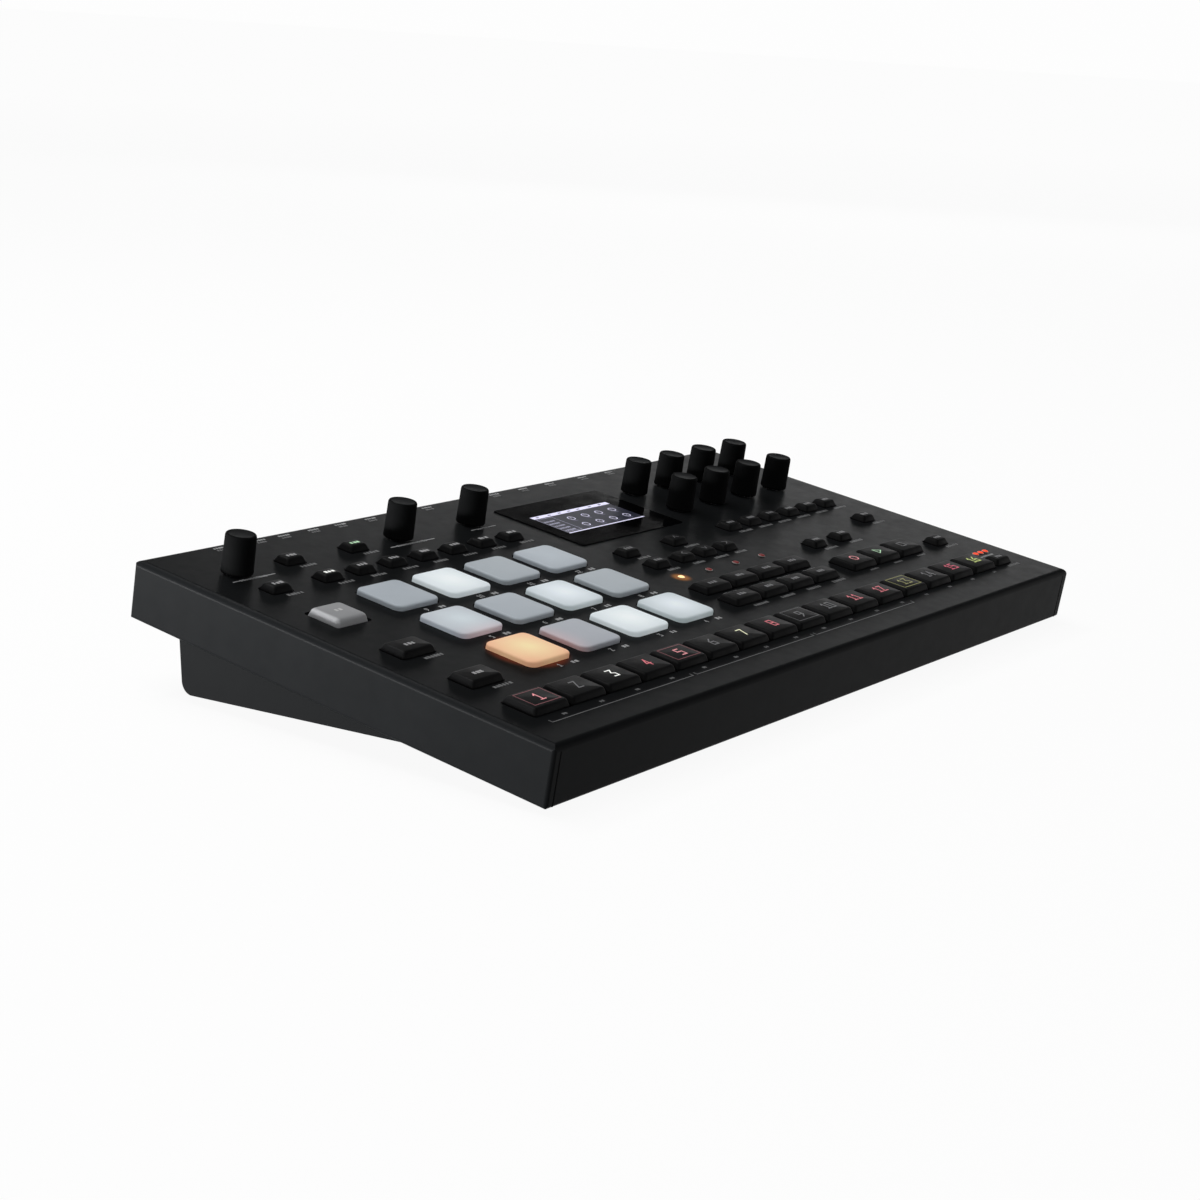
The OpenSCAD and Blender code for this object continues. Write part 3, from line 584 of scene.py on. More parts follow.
# Places of the indicator lamps on the panel.
BANK_LAMPS = [(169.7, 75.2), (187.8, 75.2), (205.9, 75.2), (224.0, 75.2)]
TURN_LAMPS = [(314.0, 31.2), (318.1, 31.2), (322.2, 31.2), (326.3, 31.2)]


def dress(node, finish):
    """Gives a node that stays its finish."""
    slots = NODES[node].data.materials
    slots.clear()
    slots.append(finish_of(finish))


class DRUM_OT_case(bpy.types.Operator):
    """Powder-coats the folded top case and the base, paints the glow of pad 1 and the first bank lamp on the
    steel, and paints the shade in each folded corner's groove as a dark strip
    """
    bl_idname = "drum.case"
    bl_label = "Case"

    def execute(self, context):
        dress("top_case", "coated_steel")
        dress("base_case", "base_steel")
        low, high = solids("pad_1", 0.0)[0]
        centre = PANEL @ Vector(((low.x + high.x) / 2, (low.y + high.y) / 2, 0))
        # Painted light: the orange glow that pad 1 spills round itself and the amber glow round the first
        # bank lamp, painted on the steel as emission.
        haloed(finish_of("coated_steel"), centre, 10.5, 15.5, (0.09, 0.014, 0.004))
        haloed(finish_of("coated_steel"), PANEL @ Vector((*BANK_LAMPS[0], 0)), 1.0, 5.0, (0.3, 0.11, 0.02))
        seam = Form()
        # Painted shade: a dark strip stands for the shade in the groove of each folded corner.
        for x in (2.9, CASE.x - 3.5):
            seam.block((x, -0.02, -CASE.z + 0.5), (x + 0.6, 0.1, -2.3), "groove_painted_shade")
        seam.object("corner_seams", "case", "panel_steel")
        return {"FINISHED"}


PAD_LOOKS = {
    1: ((0.85, 0.50, 0.31), (0.30, 0.37, 0.18), (0.22, 0.11, 0.06)),
    2: ((0.50, 0.53, 0.58), (0.01, 0.01, 0.012), (0.005, 0.005, 0.006)),
    3: ((0.56, 0.60, 0.63), (0.43, 0.455, 0.445), (0.24, 0.27, 0.28)),
    4: ((0.54, 0.58, 0.62), (0.38, 0.41, 0.43), (0.12, 0.15, 0.15)),
    5: ((0.54, 0.57, 0.60), (0.20, 0.245, 0.26), (0.06, 0.07, 0.09)),
    6: ((0.50, 0.55, 0.60), (0.01, 0.011, 0.012), (0.005, 0.006, 0.006)),
    7: ((0.54, 0.58, 0.63), (0.39, 0.42, 0.43), (0.16, 0.19, 0.19)),
    8: ((0.50, 0.55, 0.59), (0.01, 0.011, 0.012), (0.005, 0.006, 0.006)),
    9: ((0.48, 0.53, 0.58), (0.01, 0.011, 0.012), (0.005, 0.006, 0.006)),
    10: ((0.56, 0.60, 0.63), (0.43, 0.455, 0.445), (0.24, 0.27, 0.28)),
    11: ((0.49, 0.54, 0.58), (0.01, 0.011, 0.012), (0.005, 0.006, 0.006)),
    12: ((0.51, 0.56, 0.61), (0.06, 0.07, 0.075), (0.01, 0.012, 0.014)),
}


class DRUM_OT_pads(bpy.types.Operator):
    """Makes the twelve soft silicone pads, each lit as it is in use, with pad 1's pink spill painted on pads
    2 and 5
    """
    bl_idname = "drum.pads"
    bl_label = "Pads"

    def execute(self, context):
        shape = context.scene.drum_shape
        for number, (base, middle, edge) in PAD_LOOKS.items():
            node = f"pad_{number}"
            low, high = solids(node, 0.0)[0]
            size = high - low
            centre = (low + high) / 2
            world = PANEL @ Vector((centre.x, centre.y, high.z - 1.0))
            skin = glowing_pad(f"silicone_{number}", world, size.x * 0.00062, base, middle, edge)
            if number == 1:
                lamp = world
            # Painted light: the pink glow that pad 1 spills on pads 2 and 5, painted on their silicone as
            # emission.
            elif number in (2, 5):
                haloed(skin, lamp, 11, 27, (0.16, 0.03, 0.02))
            form = Form()
            form.add(soft_cap(size.x, size.y, high.z, -1.8, shape.pad_draw, shape.pad_corner,
                              shape.pad_rim, 6, 5, shape.pad_crown), skin, (centre.x, centre.y, 0))
            under_parts(form, node, skin)
            slot = "pad_orange" if number == 1 else "pad_white" if number in (3, 4, 5, 7, 10) else "pad_grey"
            form.object(f"drum_{node}", node, slot, node, smooth=50)
        return {"FINISHED"}


TRIG_LOOKS = {
    1: ("pink", "red"), 2: ("dim", None), 3: ("white", None), 4: ("rose", None),
    5: ("pink", "red"), 6: ("dim", None), 7: ("yellow_white", None), 8: ("rose", None),
    9: ("dim", "frame_grey"), 10: ("dim", None), 11: ("rose", None), 12: ("rose", None),
    13: ("olive", "olive"), 14: ("dim", None), 15: ("magenta", None), 16: ("lime", None),
}


def key_cap(form, low, high, shape, finish, foot=-1.8):
    """A key's cap, drawn in more on a small key than on a step key."""
    size = high - low
    share = min(1.0, max(0.0, (size.y - 7) / 6))
    draw = shape.small_draw + (shape.key_draw - shape.small_draw) * share
    cap = soft_cap(size.x, size.y, high.z, 0.35, draw, shape.key_corner, shape.key_rim)
    form.add(soft_cap(size.x, size.y, 0.4, foot, 0, shape.key_corner, 0.04, 4, 1), finish,
             ((low.x + high.x) / 2, (low.y + high.y) / 2, 0))
    form.add(cap, finish, ((low.x + high.x) / 2, (low.y + high.y) / 2, 0))


class DRUM_OT_trig_keys(bpy.types.Operator):
    """Makes the sixteen numbered step keys with their lit numerals"""
    bl_idname = "drum.trig_keys"
    bl_label = "Step keys"

    def execute(self, context):
        shape = context.scene.drum_shape
        for number, (digits, border) in TRIG_LOOKS.items():
            node = f"trig_key_{number}"
            low, high = solids(node, 0.0)[0]
            form = Form()
            key_cap(form, low, high, shape, "key_plastic")
            under_parts(form, node, "key_plastic")
            centre = ((low.x + high.x) / 2, (low.y + high.y) / 2)
            z0, z1 = high.z - 0.05, high.z + 0.02
            text = str(number)
            size = (2.3, 4.2) if len(text) == 1 else (2.1, 4.2)
            numeral(form, text, (centre[0] + 0.9, centre[1] + 0.2), size, 1.0, shape.stroke, z0, z1, digits)
            if border:
                form.outline((low.x + 2.9, low.y + 2.7), (high.x - 2.0, high.y - 2.0), 0.3, z0, z1, border)
            form.object(f"numbered_{node}", node, "key_black", node)
        return {"FINISHED"}


class DRUM_OT_transport_keys(bpy.types.Operator):
    """Makes the record, play and stop keys with a circle, a triangle and a square"""
    bl_idname = "drum.transport_keys"
    bl_label = "Transport keys"

    def execute(self, context):
        shape = context.scene.drum_shape
        for node in ("record_key", "play_key", "stop_key"):
            low, high = solids(node, 0.0)[0]
            form = Form()
            key_cap(form, low, high, shape, "key_plastic")
            under_parts(form, node, "key_plastic")
            cx, cy = (low.x + high.x) / 2, (low.y + high.y) / 2
            z0, z1 = high.z - 0.05, high.z + 0.02
            if node == "record_key":
                form.ring((cx, cy), 1.8, 0.42, z0, z1, "pink")
            elif node == "play_key":
                points = [(cx - 1.5, cy - 1.9), (cx - 1.5, cy + 1.9), (cx + 1.9, cy)]
                for i in range(3):
                    form.stroke(points[i], points[(i + 1) % 3], 0.42, z0, z1, "green")
            else:
                form.outline((cx - 1.6, cy - 1.6), (cx + 1.6, cy + 1.6), 0.4, z0, z1, "dim")
            form.object(f"transport_{node}", node, "key_black", node)
        return {"FINISHED"}


class DRUM_OT_function_key(bpy.types.Operator):
    """Makes the light grey function key"""
    bl_idname = "drum.function_key"
    bl_label = "Function key"

    def execute(self, context):
        shape = context.scene.drum_shape
        low, high = solids("function_key", 0.0)[0]
        size = high - low
        form = Form()
        cap = soft_cap(size.x, size.y, high.z, -1.8, shape.key_draw + 0.3, 1.9, 1.3, 6, 5, 0.15)
        form.add(cap, "grey_plastic", ((low.x + high.x) / 2, (low.y + high.y) / 2, 0))
        under_parts(form, "function_key", "grey_plastic")
        chance = random.Random(4)
        cx, cy = (low.x + high.x) / 2, (low.y + high.y) / 2
        dashes(form, cx - 1.6, cy + 0.4, 3.4, 1.9, high.z - 0.25, high.z + 0.01, "key_glyph", chance, 2)
        form.object("grey_function_key", "function_key", "function_key", "function_key")
        return {"FINISHED"}


KEY_GROUPS = {"left_keys": 11, "cursor_keys": 12, "right_keys": 13, "wide_keys": 14}


class DRUM_OT_key_groups(bpy.types.Operator):
    """Makes the small, medium and wide keys, each with a small generic legend"""
    bl_idname = "drum.key_groups"
    bl_label = "Small keys"

    def execute(self, context):
        shape = context.scene.drum_shape
        for node, seed in KEY_GROUPS.items():
            chance = random.Random(seed)
            form = Form()
            for low, high in solids(node, 0.0):
                key_cap(form, low, high, shape, "key_plastic")
                self.legend(form, node, low, high, chance)
            under_parts(form, node, "key_plastic")
            form.object(f"moulded_{node}", node, "key_black", node)
        return {"FINISHED"}

    def legend(self, form, node, low, high, chance):
        """A lit legend on the keys that have one, a dim one on the rest."""
        cx, cy = (low.x + high.x) / 2, (low.y + high.y) / 2
        z0, z1 = high.z - 0.05, high.z + 0.02
        finish = "pale" if node == "left_keys" else "dim"
        if node == "left_keys" and abs(cx - 46.8) < 2 and abs(cy - 136.3) < 3:
            finish = "white"
        if node == "left_keys" and cx > 70 and cy > 150:
            finish = "green"
        if node == "cursor_keys" and cx > 180:
            side = {True: (0, 1), False: (0, -1)}[cy > 95]
            if abs(cx - 203.2) > 5:
                side = (-1, 0) if cx < 203 else (1, 0)
            tip = (cx + side[0] * 1.0, cy + side[1] * 1.0)
            across = (side[1] * 1.2, side[0] * 1.2)
            foot = (cx - side[0] * 0.8, cy - side[1] * 0.8)
            form.stroke(tip, (foot[0] + across[0], foot[1] + across[1]), 0.3, z0, z1, finish)
            form.stroke(tip, (foot[0] - across[0], foot[1] - across[1]), 0.3, z0, z1, finish)
            return
        dashes(form, cx - 2.0, cy, 4.0, 1.7, z0, z1, finish, chance, 3)


class DRUM_OT_knobs(bpy.types.Operator):
    """Turns the eleven slim knobs, each with a soft rim and a shallow dish in its top, the dish painted
    lighter for the light that falls on it
    """
    bl_idname = "drum.knobs"
    bl_label = "Knobs"

    def execute(self, context):
        shape = context.scene.drum_shape
        names = ["volume_knob", "tempo_knob", "level_knob"] + [f"data_knob_{i}" for i in range(1, 9)]
        for node in names:
            low, high = solids(node)[0]
            centre = (low + high) / 2
            foot_r = (high.x - low.x) / 2
            top = high.z
            form = Form()
            rim = shape.knob_rim
            neck = foot_r - 0.25
            profile = [(0, 0.5), (foot_r - 0.5, 0.5), (foot_r - 0.12, 0.62), (foot_r, 0.95), (foot_r, 1.5),
                       (foot_r - 0.06, 2.2), (neck + 0.06, top - 5), (neck, top - rim * 1.9)]
            for i in range(1, 6):
                a = math.pi / 2 * i / 5
                profile.append((neck - rim * (1 - math.cos(a)), top - rim * 1.9 + rim * 1.9 * math.sin(a)))
            profile += [(neck - rim - 0.35, top - 0.02), (neck - rim - 0.5, top - 0.3), (0, top - 0.3)]
            form.add(turned(profile, shape.steps), "soft_touch", (centre.x, centre.y, 0))
            # The dish wears the knob's plastic painted four times lighter: painted light on the top.
            dish = [(0, top - 0.4), (neck - rim - 0.4, top - 0.4), (neck - rim - 0.4, top - 0.05),
                    (neck - rim - 0.7, top - 0.19), (0, top - 0.24)]
            form.add(turned(dish, shape.steps), "knob_top_painted_light", (centre.x, centre.y, 0))
            shaft = [(0, low.z), (1.75, low.z), (2, low.z + 0.25), (2, 0.6), (0, 0.6)]
            form.add(turned(shaft, 24), "encoder_metal", (centre.x, centre.y, 0))
            form.object(f"turned_{node}", node, "knob_black", node, smooth=40)
        return {"FINISHED"}


class DRUM_OT_display(bpy.types.Operator):
    """Glazes the display and draws a generic picture on it"""
    bl_idname = "drum.display"
    bl_label = "Display"

    def execute(self, context):
        dress("display_window", "glass")
        dress("display_module", "module_blue")
        low, high = solids("display_window")[0]
        z0, z1 = high.z - 0.05, high.z + 0.015
        x0, x1, y0, y1 = 171.0, 219.5, 128.5, 148.5
        chance = random.Random(21)
        form = Form()
        form.block((x0, y0, z0), (x1, y1, z1 - 0.005), "screen_field")
        form.block((x0, y1 - 2.4, z0), (x1, y1, z1), "screen_white")
        for i in range(7):
            x = x0 + 2.0 + 6.4 * i + 2.0 * chance.random()
            form.block((x, y1 - 1.6, z0), (x + 1.8, y1 - 0.8, z1 + 0.004), "screen_dim")
        form.block((x0, y0, z0), (x1, y0 + 0.7, z1), "screen_white")
        for column in range(4):
            for row in range(2):
                cx, cy = x0 + 16.5 + 8.8 * column, y0 + 4.9 + 7.4 * row
                form.ring((cx, cy), 1.6, 0.32, z0, z1, "screen_white", 12)
                angle = chance.uniform(0.6, 2.6)
                form.stroke((cx, cy), (cx + 1.4 * math.cos(angle), cy + 1.4 * math.sin(angle)), 0.3,
                            z0, z1, "screen_mid")
                dashes(form, cx - 1.8, cy - 2.7, 3.6, 0.7, z0, z1, "screen_dim", chance, 4)
        for i in range(5):
            dashes(form, x0 + 1.0, y0 + 3.0 + 2.6 * i, 8, 1.1, z0, z1, "screen_mid", chance, 6)
        form.outline((x0 + 0.3, y0 + 1.7), (x0 + 9.6, y1 - 3.2), 0.25, z0, z1, "screen_mid")
        form.object("display_picture", "case", "display_glass")
        return {"FINISHED"}


class DRUM_OT_lamps(bpy.types.Operator):
    """Sets a small clear dome on each indicator lamp"""
    bl_idname = "drum.lamps"
    bl_label = "Lamps"

    def execute(self, context):
        form = Form()
        looks = ["amber", "ember", "ember", "ember"] + ["scarlet"] * 4
        for (x, y), finish in zip(BANK_LAMPS + TURN_LAMPS, looks):
            arc = [(1.3 * math.cos(a), 0.12 + 0.5 * math.sin(a))
                   for a in [math.pi / 2 * i / 5 for i in range(6)]]
            form.add(turned([(0, 0), (1.3, 0)] + arc, 20), finish, (x, y, 0))
        form.object("lamp_domes", "case", "board_parts", smooth=60)
        return {"FINISHED"}


class DRUM_OT_prints(bpy.types.Operator):
    """Prints the pads' numbers, the brackets and the generic label marks on the panel"""
    bl_idname = "drum.prints"
    bl_label = "Panel prints"

    def execute(self, context):
        shape = context.scene.drum_shape
        z0, z1 = -0.05, shape.print_rise
        chance = random.Random(7)
        form = Form()
        for number in range(1, 13):
            low, high = solids(f"pad_{number}", 0.0)[0]
            x, y = (low.x + high.x) / 2, low.y - 2.8
            numeral(form, str(number), (x, y), (0.95, 1.9), 0.5, 0.34, z0, z1, "ink")
            dashes(form, x + 5.9, y - 0.2, 3.0, 1.8, z0, z1, "ink", chance, 2)
        for node in ("left_keys", "cursor_keys", "right_keys", "wide_keys"):
            for low, high in solids(node, 0.0):
                wide = min(9.5, (high.x - low.x) * 0.95)
                dashes(form, (low.x + high.x) / 2 - 0.5, low.y - 2.1, wide, 1.6, z0, z1, "ink_faint", chance)
        for node in ("record_key", "play_key", "stop_key"):
            low, high = solids(node, 0.0)[0]
            dashes(form, (low.x + high.x) / 2, low.y - 2.0, 7, 1.1, z0, z1, "ink_faint", chance)
        for number in range(1, 17):
            low, high = solids(f"trig_key_{number}", 0.0)[0]
            x = (low.x + high.x) / 2
            dashes(form, x + 1.3, low.y - 2.6, 2.6, 1.2, z0, z1, "ink_faint", chance, 2)
        for left, right in ((14.1, 87.8), (90.0, 162.0), (164.0, 233.5)):
            form.stroke((left, 12.4), (right, 12.4), 0.34, z0, z1, "ink_faint")
            for x in (left, right):
                form.stroke((x, 12.4), (x, 13.9), 0.34, z0, z1, "ink_faint")
        for left, right, y in ((14.3, 33.2, 148.0), (92.6, 115.6, 149.0), (137.0, 150.7, 149.0)):
            form.stroke((left, y), (right, y), 0.5, z0, z1, "ink")
            dashes(form, left + 3, y, right - left - 6, 1.3, z0, z1, "ink", chance)
        dashes(form, 312.4, 27.8, 15, 1.0, z0, z1, "ink", chance)
        for x in (35, 54, 66, 81, 95, 111, 142.7, 183, 201, 218.5, 240.3, 258.8):
            dashes(form, x - 3, 176.3, 6.4, 1.2, z0, z1, "ink", chance)
            dashes(form, x - 3, 174.3, 4.6, 1.2, z0, z1, "ink_faint", chance)
        form.object("panel_prints", "case", "panel_steel")
        return {"FINISHED"}


class DRUM_OT_rear(bpy.types.Operator):
    """Finishes the sockets and the power rocker at the rear"""
    bl_idname = "drum.rear"
    bl_label = "Rear sockets"

    def execute(self, context):
        dress("rear_sockets", "jack_plastic")
        dress("power_rocker", "key_plastic")
        self.jacks()
        self.contacts()
        for name, middle, rise in (("on", 1.9, 0.8), ("off", -1.9, -0.8)):
            self.rocker_mark(name, middle, rise)
        return {"FINISHED"}

    def jacks(self):
        """Jack sockets: a hollow body, a lined bore, a threaded collar, a washer and a hex nut."""
        form = Form()
        for low, high in solids("audio_jacks"):
            x, z, inner, end = (low.x + high.x) / 2, JACK_Z, low.y, high.y
            wall = CASE.y - SHEET
            plates(form, (x, z), (6.2, 4.5), (0.6, 0.5), inner, wall, "jack_plastic")
            form.block((x - 6.2, inner, z - 4.5), (x + 6.2, inner + 0.7, z + 4.5), "jack_plastic")
            liner = [(0, inner + 1), (3.25, inner + 1), (3.25, end - 0.3), (3.5, end - 0.3),
                     (3.5, inner + 0.8), (0, inner + 0.8)]
            form.add(to_rear(turned(liner, 32), x, z), "jack_plastic")
            thread = [(4.4 - 0.22 * (i % 2), end - 0.3 - 0.18 * i) for i in range(10)]
            collar = [(3.45, wall), (3.45, end - 0.1), (3.55, end), (4.15, end)] + thread
            collar += [(4.4, wall + SHEET), (4.4, wall), (3.45, wall)]
            form.add(to_rear(turned(collar, 32), x, z), "nickel")
            washer = [(4.4, wall + SHEET), (5.5, wall + SHEET), (5.5, wall + 1.8), (4.4, wall + 1.8),
                      (4.4, wall + SHEET)]
            form.add(to_rear(turned(washer, 32), x, z), "nickel")
            nut = [(4.35, wall + 1.8), (5.5, wall + 1.8), (5.8, wall + 2.0), (5.8, wall + 3.2),
                   (5.3, wall + 3.5), (4.35, wall + 3.5), (4.35, wall + 1.8)]
            form.add(to_rear(turned(nut, 6), x, z), "nickel")
        form.object("jack_sockets", "case", "jack_plastic", "audio_jacks")

    def contacts(self):
        """The metal of the other sockets: rings and five brass contacts, a shield and a power pin."""
        form = Form()
        for x in (183, 201, 219):
            ring = [(6.0, 180.0), (6.0, 180.14), (6.4, 180.14), (6.4, 180.0), (6.0, 180.0)]
            form.add(to_rear(turned(ring, 40), x, DIN_Z), "nickel")
            for i in range(5):
                a = math.pi * i / 4
                contact = [(0, 178.7), (0.86, 178.7), (0.86, 179.5), (0.55, 179.5), (0.55, 178.9), (0, 178.9)]
                place = (x + 4.2 * math.cos(a), DIN_Z - 4.2 * math.sin(a))
                form.add(to_rear(turned(contact, 12), *place), "contact_brass")
        x, z = 240.3, USB_Z
        plates(form, (x, z), (4.19, 3.89), (0.24, 0.24), 170, 180.05, "nickel")
        for side in (-1.3, 1.3):
            form.block((x + side - 0.5, 171, z - 1.68), (x + side + 0.5, 177.8, z + 1.68), "contact_brass")
        pin = [(0, 168.6), (1.05, 168.6), (1.05, 177.2), (0.8, 177.6), (0, 177.7)]
        form.add(to_rear(turned(pin, 20), 258.8, ROCKER_Z), "nickel")
        barrel = [(2.95, 169), (2.95, 178.7), (3.18, 178.7), (3.18, 169), (2.95, 169)]
        form.add(to_rear(turned(barrel, 32), 258.8, ROCKER_Z), "nickel")
        form.object("socket_contacts", "case", "socket_plastic")

    def rocker_mark(self, name, middle, rise):
        """A line on the rocker's upper half, a circle on its lower half."""
        form = Form()
        if name == "on":
            form.stroke((0, -0.9), (0, 0.9), 0.35, -0.05, 0.04, "ink")
        else:
            form.ring((0, 0), 0.95, 0.3, -0.05, 0.04, "ink")
        up = Vector((0, rise, 3.8)).normalized()
        frame_axes = Matrix(((-1, 0, 0), up, (0, up.z, -up.y))).transposed().to_4x4()
        frame_axes.translation = (0, 3.2, middle)
        low, high = solids("power_rocker")[0]
        seat = Matrix.Translation(((low.x + high.x) / 2, CASE.y - 2.4, ROCKER_Z)) @ Matrix.Rotation(
            math.radians(7), 4, "X")
        form.object(f"rocker_mark_{name}", "power_rocker", "rocker_black", matrix=PANEL @ seat @ frame_axes)


class DRUM_OT_underside(bpy.types.Operator):
    """Finishes the rubber feet and the screws"""
    bl_idname = "drum.underside"
    bl_label = "Underside"

    def execute(self, context):
        dress("rubber_feet", "rubber")
        form = Form()
        for low, high in solids("case_screws"):
            z = low.z
            screw = [(0, z + 0.95), (1.5, z + 0.95), (1.5, z + 0.05), (2.2, z), (2.6, z + 0.25),
                     (2.8, z + 0.7), (2.8, z + 1.5), (1.45, z + 1.5), (1.45, high.z - 0.5),
                     (1.1, high.z), (0, high.z)]
            key = [(1.45, z + 0.07), (1.45, z + 0.95), (1.75, z + 0.95), (1.75, z + 0.07), (1.45, z + 0.07)]
            place = ((low.x + high.x) / 2, (low.y + high.y) / 2, 0)
            form.add(turned(screw, 24), "black_oxide", place)
            form.add(turned(key, 6), "black_oxide", place)
        form.object("socket_screws", "case", "screw_steel", "case_screws")
        return {"FINISHED"}


class DRUM_OT_inside(bpy.types.Operator):
    """Finishes the boards, their parts and the encoders inside"""
    bl_idname = "drum.inside"
    bl_label = "Inside"

    def execute(self, context):
        dress("control_board", "board_green")
        dress("main_board", "board_green")
        dress("board_components", "component_white")
        dress("rotary_encoders", "encoder_metal")
        return {"FINISHED"}


# ---------------------------------------------------------------- the stage

def shown_mix(tree, first, second):
    """Mixes two shaders: the second for what the camera, gloss and glass see."""
    path = tree.nodes.new("ShaderNodeLightPath")
    either = path.outputs["Is Camera Ray"]
    for other in ("Is Glossy Ray", "Is Transmission Ray"):
        node = tree.nodes.new("ShaderNodeMath")
        node.operation = "MAXIMUM"
        tree.links.new(either, node.inputs[0])
        tree.links.new(path.outputs[other], node.inputs[1])
        either = node.outputs[0]
    mix = tree.nodes.new("ShaderNodeMixShader")
    tree.links.new(either, mix.inputs["Fac"])
    tree.links.new(first, mix.inputs[1])
    tree.links.new(second, mix.inputs[2])
    return mix.outputs["Shader"]


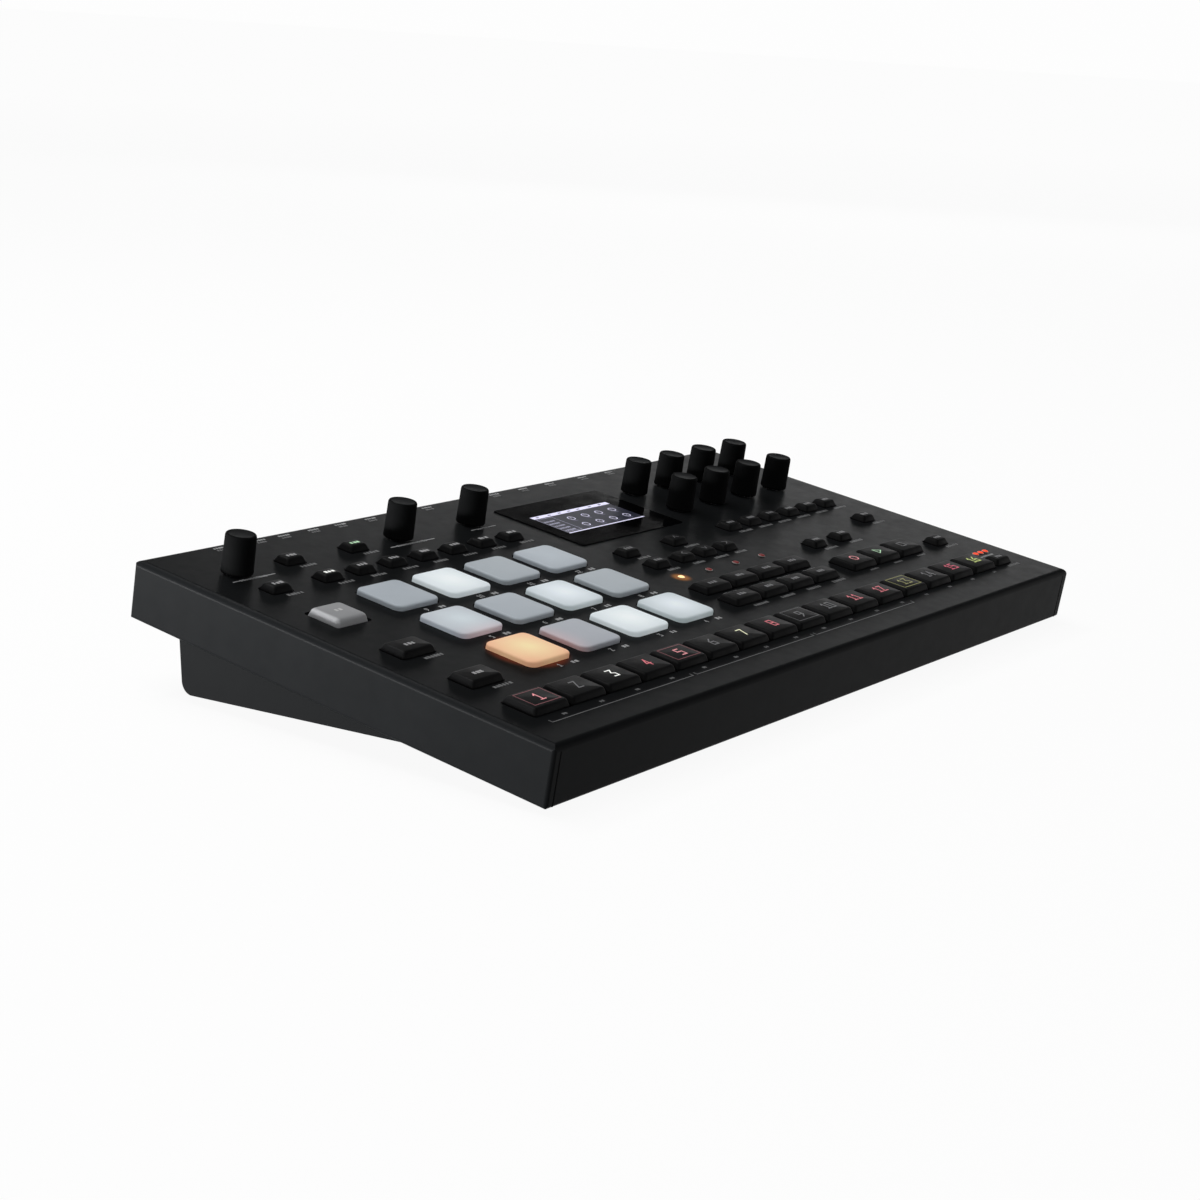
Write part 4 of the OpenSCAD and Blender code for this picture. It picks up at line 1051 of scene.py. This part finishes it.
class DRUM_OT_stage(bpy.types.Operator):
    """Sets the floor, the room, the softboxes and the camera"""
    bl_idname = "drum.stage"
    bl_label = "Stage"

    def execute(self, context):
        scene = context.scene
        stage = scene.drum_stage
        self.floor()
        self.room(scene, stage)
        self.softbox("overhead", (-0.3, 0.25, 1.5), (0, 0, 0), 1.2, 1.0, stage.overhead)
        self.softbox("rear_softbox", (2.2, 1.3, 0.62), (0, 0, 0.05), 1.6, 0.5, stage.side)
        self.softbox("left_softbox", (-0.8, 0.45, 0.014), (0, 0, 0.014), 0.7, 0.022, stage.left)
        self.softbox("rim_softbox", (0.1, 0.9, 1.4), (0, 0, 0.03), 0.9, 0.3, stage.rim)
        self.camera(scene, stage)
        scene.view_settings.view_transform = "Standard"
        return {"FINISHED"}

    def floor(self):
        bm = bmesh.new()
        bmesh.ops.create_grid(bm, x_segments=1, y_segments=1, size=60)
        mesh = bpy.data.meshes.new("floor")
        bm.to_mesh(mesh)
        bm.free()
        material = bpy.data.materials.new("floor_paper")
        material.use_nodes = True
        tree = material.node_tree
        tree.nodes.clear()
        output = tree.nodes.new("ShaderNodeOutputMaterial")
        paper = tree.nodes.new("ShaderNodeBsdfDiffuse")
        paper.inputs["Color"].default_value = (0.07, 0.07, 0.07, 1)
        shown = tree.nodes.new("ShaderNodeEmission")
        place = tree.nodes.new("ShaderNodeTexCoord").outputs["Object"]
        near = tree.nodes.new("ShaderNodeMapRange")
        near.inputs["To Min"].default_value = 0.966
        near.inputs["To Max"].default_value = 0.930
        tree.links.new(ball_at(tree, place, (0, 0, 0), 5.0), near.inputs["Value"])
        tree.links.new(near.outputs["Result"], shown.inputs["Strength"])
        both = tree.nodes.new("ShaderNodeAddShader")
        tree.links.new(paper.outputs["BSDF"], both.inputs[0])
        tree.links.new(shown.outputs["Emission"], both.inputs[1])
        tree.links.new(shown_mix(tree, paper.outputs["BSDF"], both.outputs["Shader"]),
                       output.inputs["Surface"])
        mesh.materials.append(material)
        floor = bpy.data.objects.new("floor", mesh)
        bpy.context.scene.collection.objects.link(floor)

    def room(self, scene, stage):
        """A room that is white at the horizon and grey overhead."""
        world = bpy.data.worlds.new("room")
        scene.world = world
        world.use_nodes = True
        tree = world.node_tree
        tree.nodes.clear()
        output = tree.nodes.new("ShaderNodeOutputWorld")
        place = tree.nodes.new("ShaderNodeTexCoord")
        parts = tree.nodes.new("ShaderNodeSeparateXYZ")
        tree.links.new(place.outputs["Generated"], parts.inputs["Vector"])
        ramp = tree.nodes.new("ShaderNodeMapRange")
        ramp.interpolation_type = "SMOOTHSTEP"
        ramp.inputs["From Min"].default_value = 0.22
        ramp.inputs["From Max"].default_value = 0.31
        ramp.inputs["To Min"].default_value = 0.985
        ramp.inputs["To Max"].default_value = stage.sky
        tree.links.new(parts.outputs["Z"], ramp.inputs["Value"])
        light = tree.nodes.new("ShaderNodeBackground")
        tree.links.new(ramp.outputs["Result"], light.inputs["Strength"])
        light.inputs["Color"].default_value = (1, 1, 1, 1)
        tree.links.new(light.outputs["Background"], output.inputs["Surface"])

    def softbox(self, name, place, aim, wide, deep, power):
        lamp = bpy.data.lights.new(name, "AREA")
        lamp.shape = "RECTANGLE"
        lamp.size, lamp.size_y = wide, deep
        lamp.energy = power
        holder = bpy.data.objects.new(name, lamp)
        holder.location = place
        holder.rotation_euler = (Vector(aim) - Vector(place)).to_track_quat("-Z", "Y").to_euler()
        bpy.context.scene.collection.objects.link(holder)

    def camera(self, scene, stage):
        """The photograph's view: where the eye is and how it is turned, from the panel's frame."""
        lens = bpy.data.cameras.new("camera")
        lens.lens = stage.lens
        lens.sensor_width = 36.0
        camera = bpy.data.objects.new("camera", lens)
        across = Vector((0.59842, -0.78577, 0.15642))
        rise = Vector((0.16109, 0.30925, 0.93724))
        rise = (rise - across * across.dot(rise)).normalized()
        across.normalize()
        toward = across.cross(rise)
        turn = Matrix((across, rise, toward)).transposed().to_4x4()
        place = PANEL.to_quaternion().to_matrix().to_4x4() @ turn
        place.translation = PANEL @ Vector(stage.eye)
        camera.matrix_world = place
        scene.collection.objects.link(camera)
        scene.camera = camera


OPERATORS = (
    DRUM_OT_case, DRUM_OT_pads, DRUM_OT_trig_keys, DRUM_OT_transport_keys, DRUM_OT_function_key,
    DRUM_OT_key_groups, DRUM_OT_knobs, DRUM_OT_display, DRUM_OT_lamps, DRUM_OT_prints, DRUM_OT_rear,
    DRUM_OT_underside, DRUM_OT_inside, DRUM_OT_stage,
)


class DRUM_PT_panel(bpy.types.Panel):
    """Lists the pieces of the drum machine"""
    bl_idname = "DRUM_PT_panel"
    bl_label = "Drum machine"
    bl_space_type = "VIEW_3D"
    bl_region_type = "UI"
    bl_category = "Drum machine"

    def draw(self, context):
        for group in ("drum_shape", "drum_finish", "drum_stage"):
            box = self.layout.box()
            settings = getattr(context.scene, group)
            for name in settings.bl_rna.properties.keys():
                if name not in ("rna_type", "name"):
                    box.prop(settings, name)
        for operator in OPERATORS:
            self.layout.operator(operator.bl_idname)


GROUPS = (DrumShape, DrumFinish, DrumStage)


def register():
    for item in GROUPS + OPERATORS + (DRUM_PT_panel,):
        bpy.utils.register_class(item)
    bpy.types.Scene.drum_shape = PointerProperty(type=DrumShape)
    bpy.types.Scene.drum_finish = PointerProperty(type=DrumFinish)
    bpy.types.Scene.drum_stage = PointerProperty(type=DrumStage)


def unregister():
    del bpy.types.Scene.drum_stage
    del bpy.types.Scene.drum_finish
    del bpy.types.Scene.drum_shape
    for item in reversed(GROUPS + OPERATORS + (DRUM_PT_panel,)):
        bpy.utils.unregister_class(item)


def main():
    register()
    for operator in OPERATORS:
        family, name = operator.bl_idname.split(".")
        getattr(getattr(bpy.ops, family), name)()


if __name__ == "__main__":
    main()
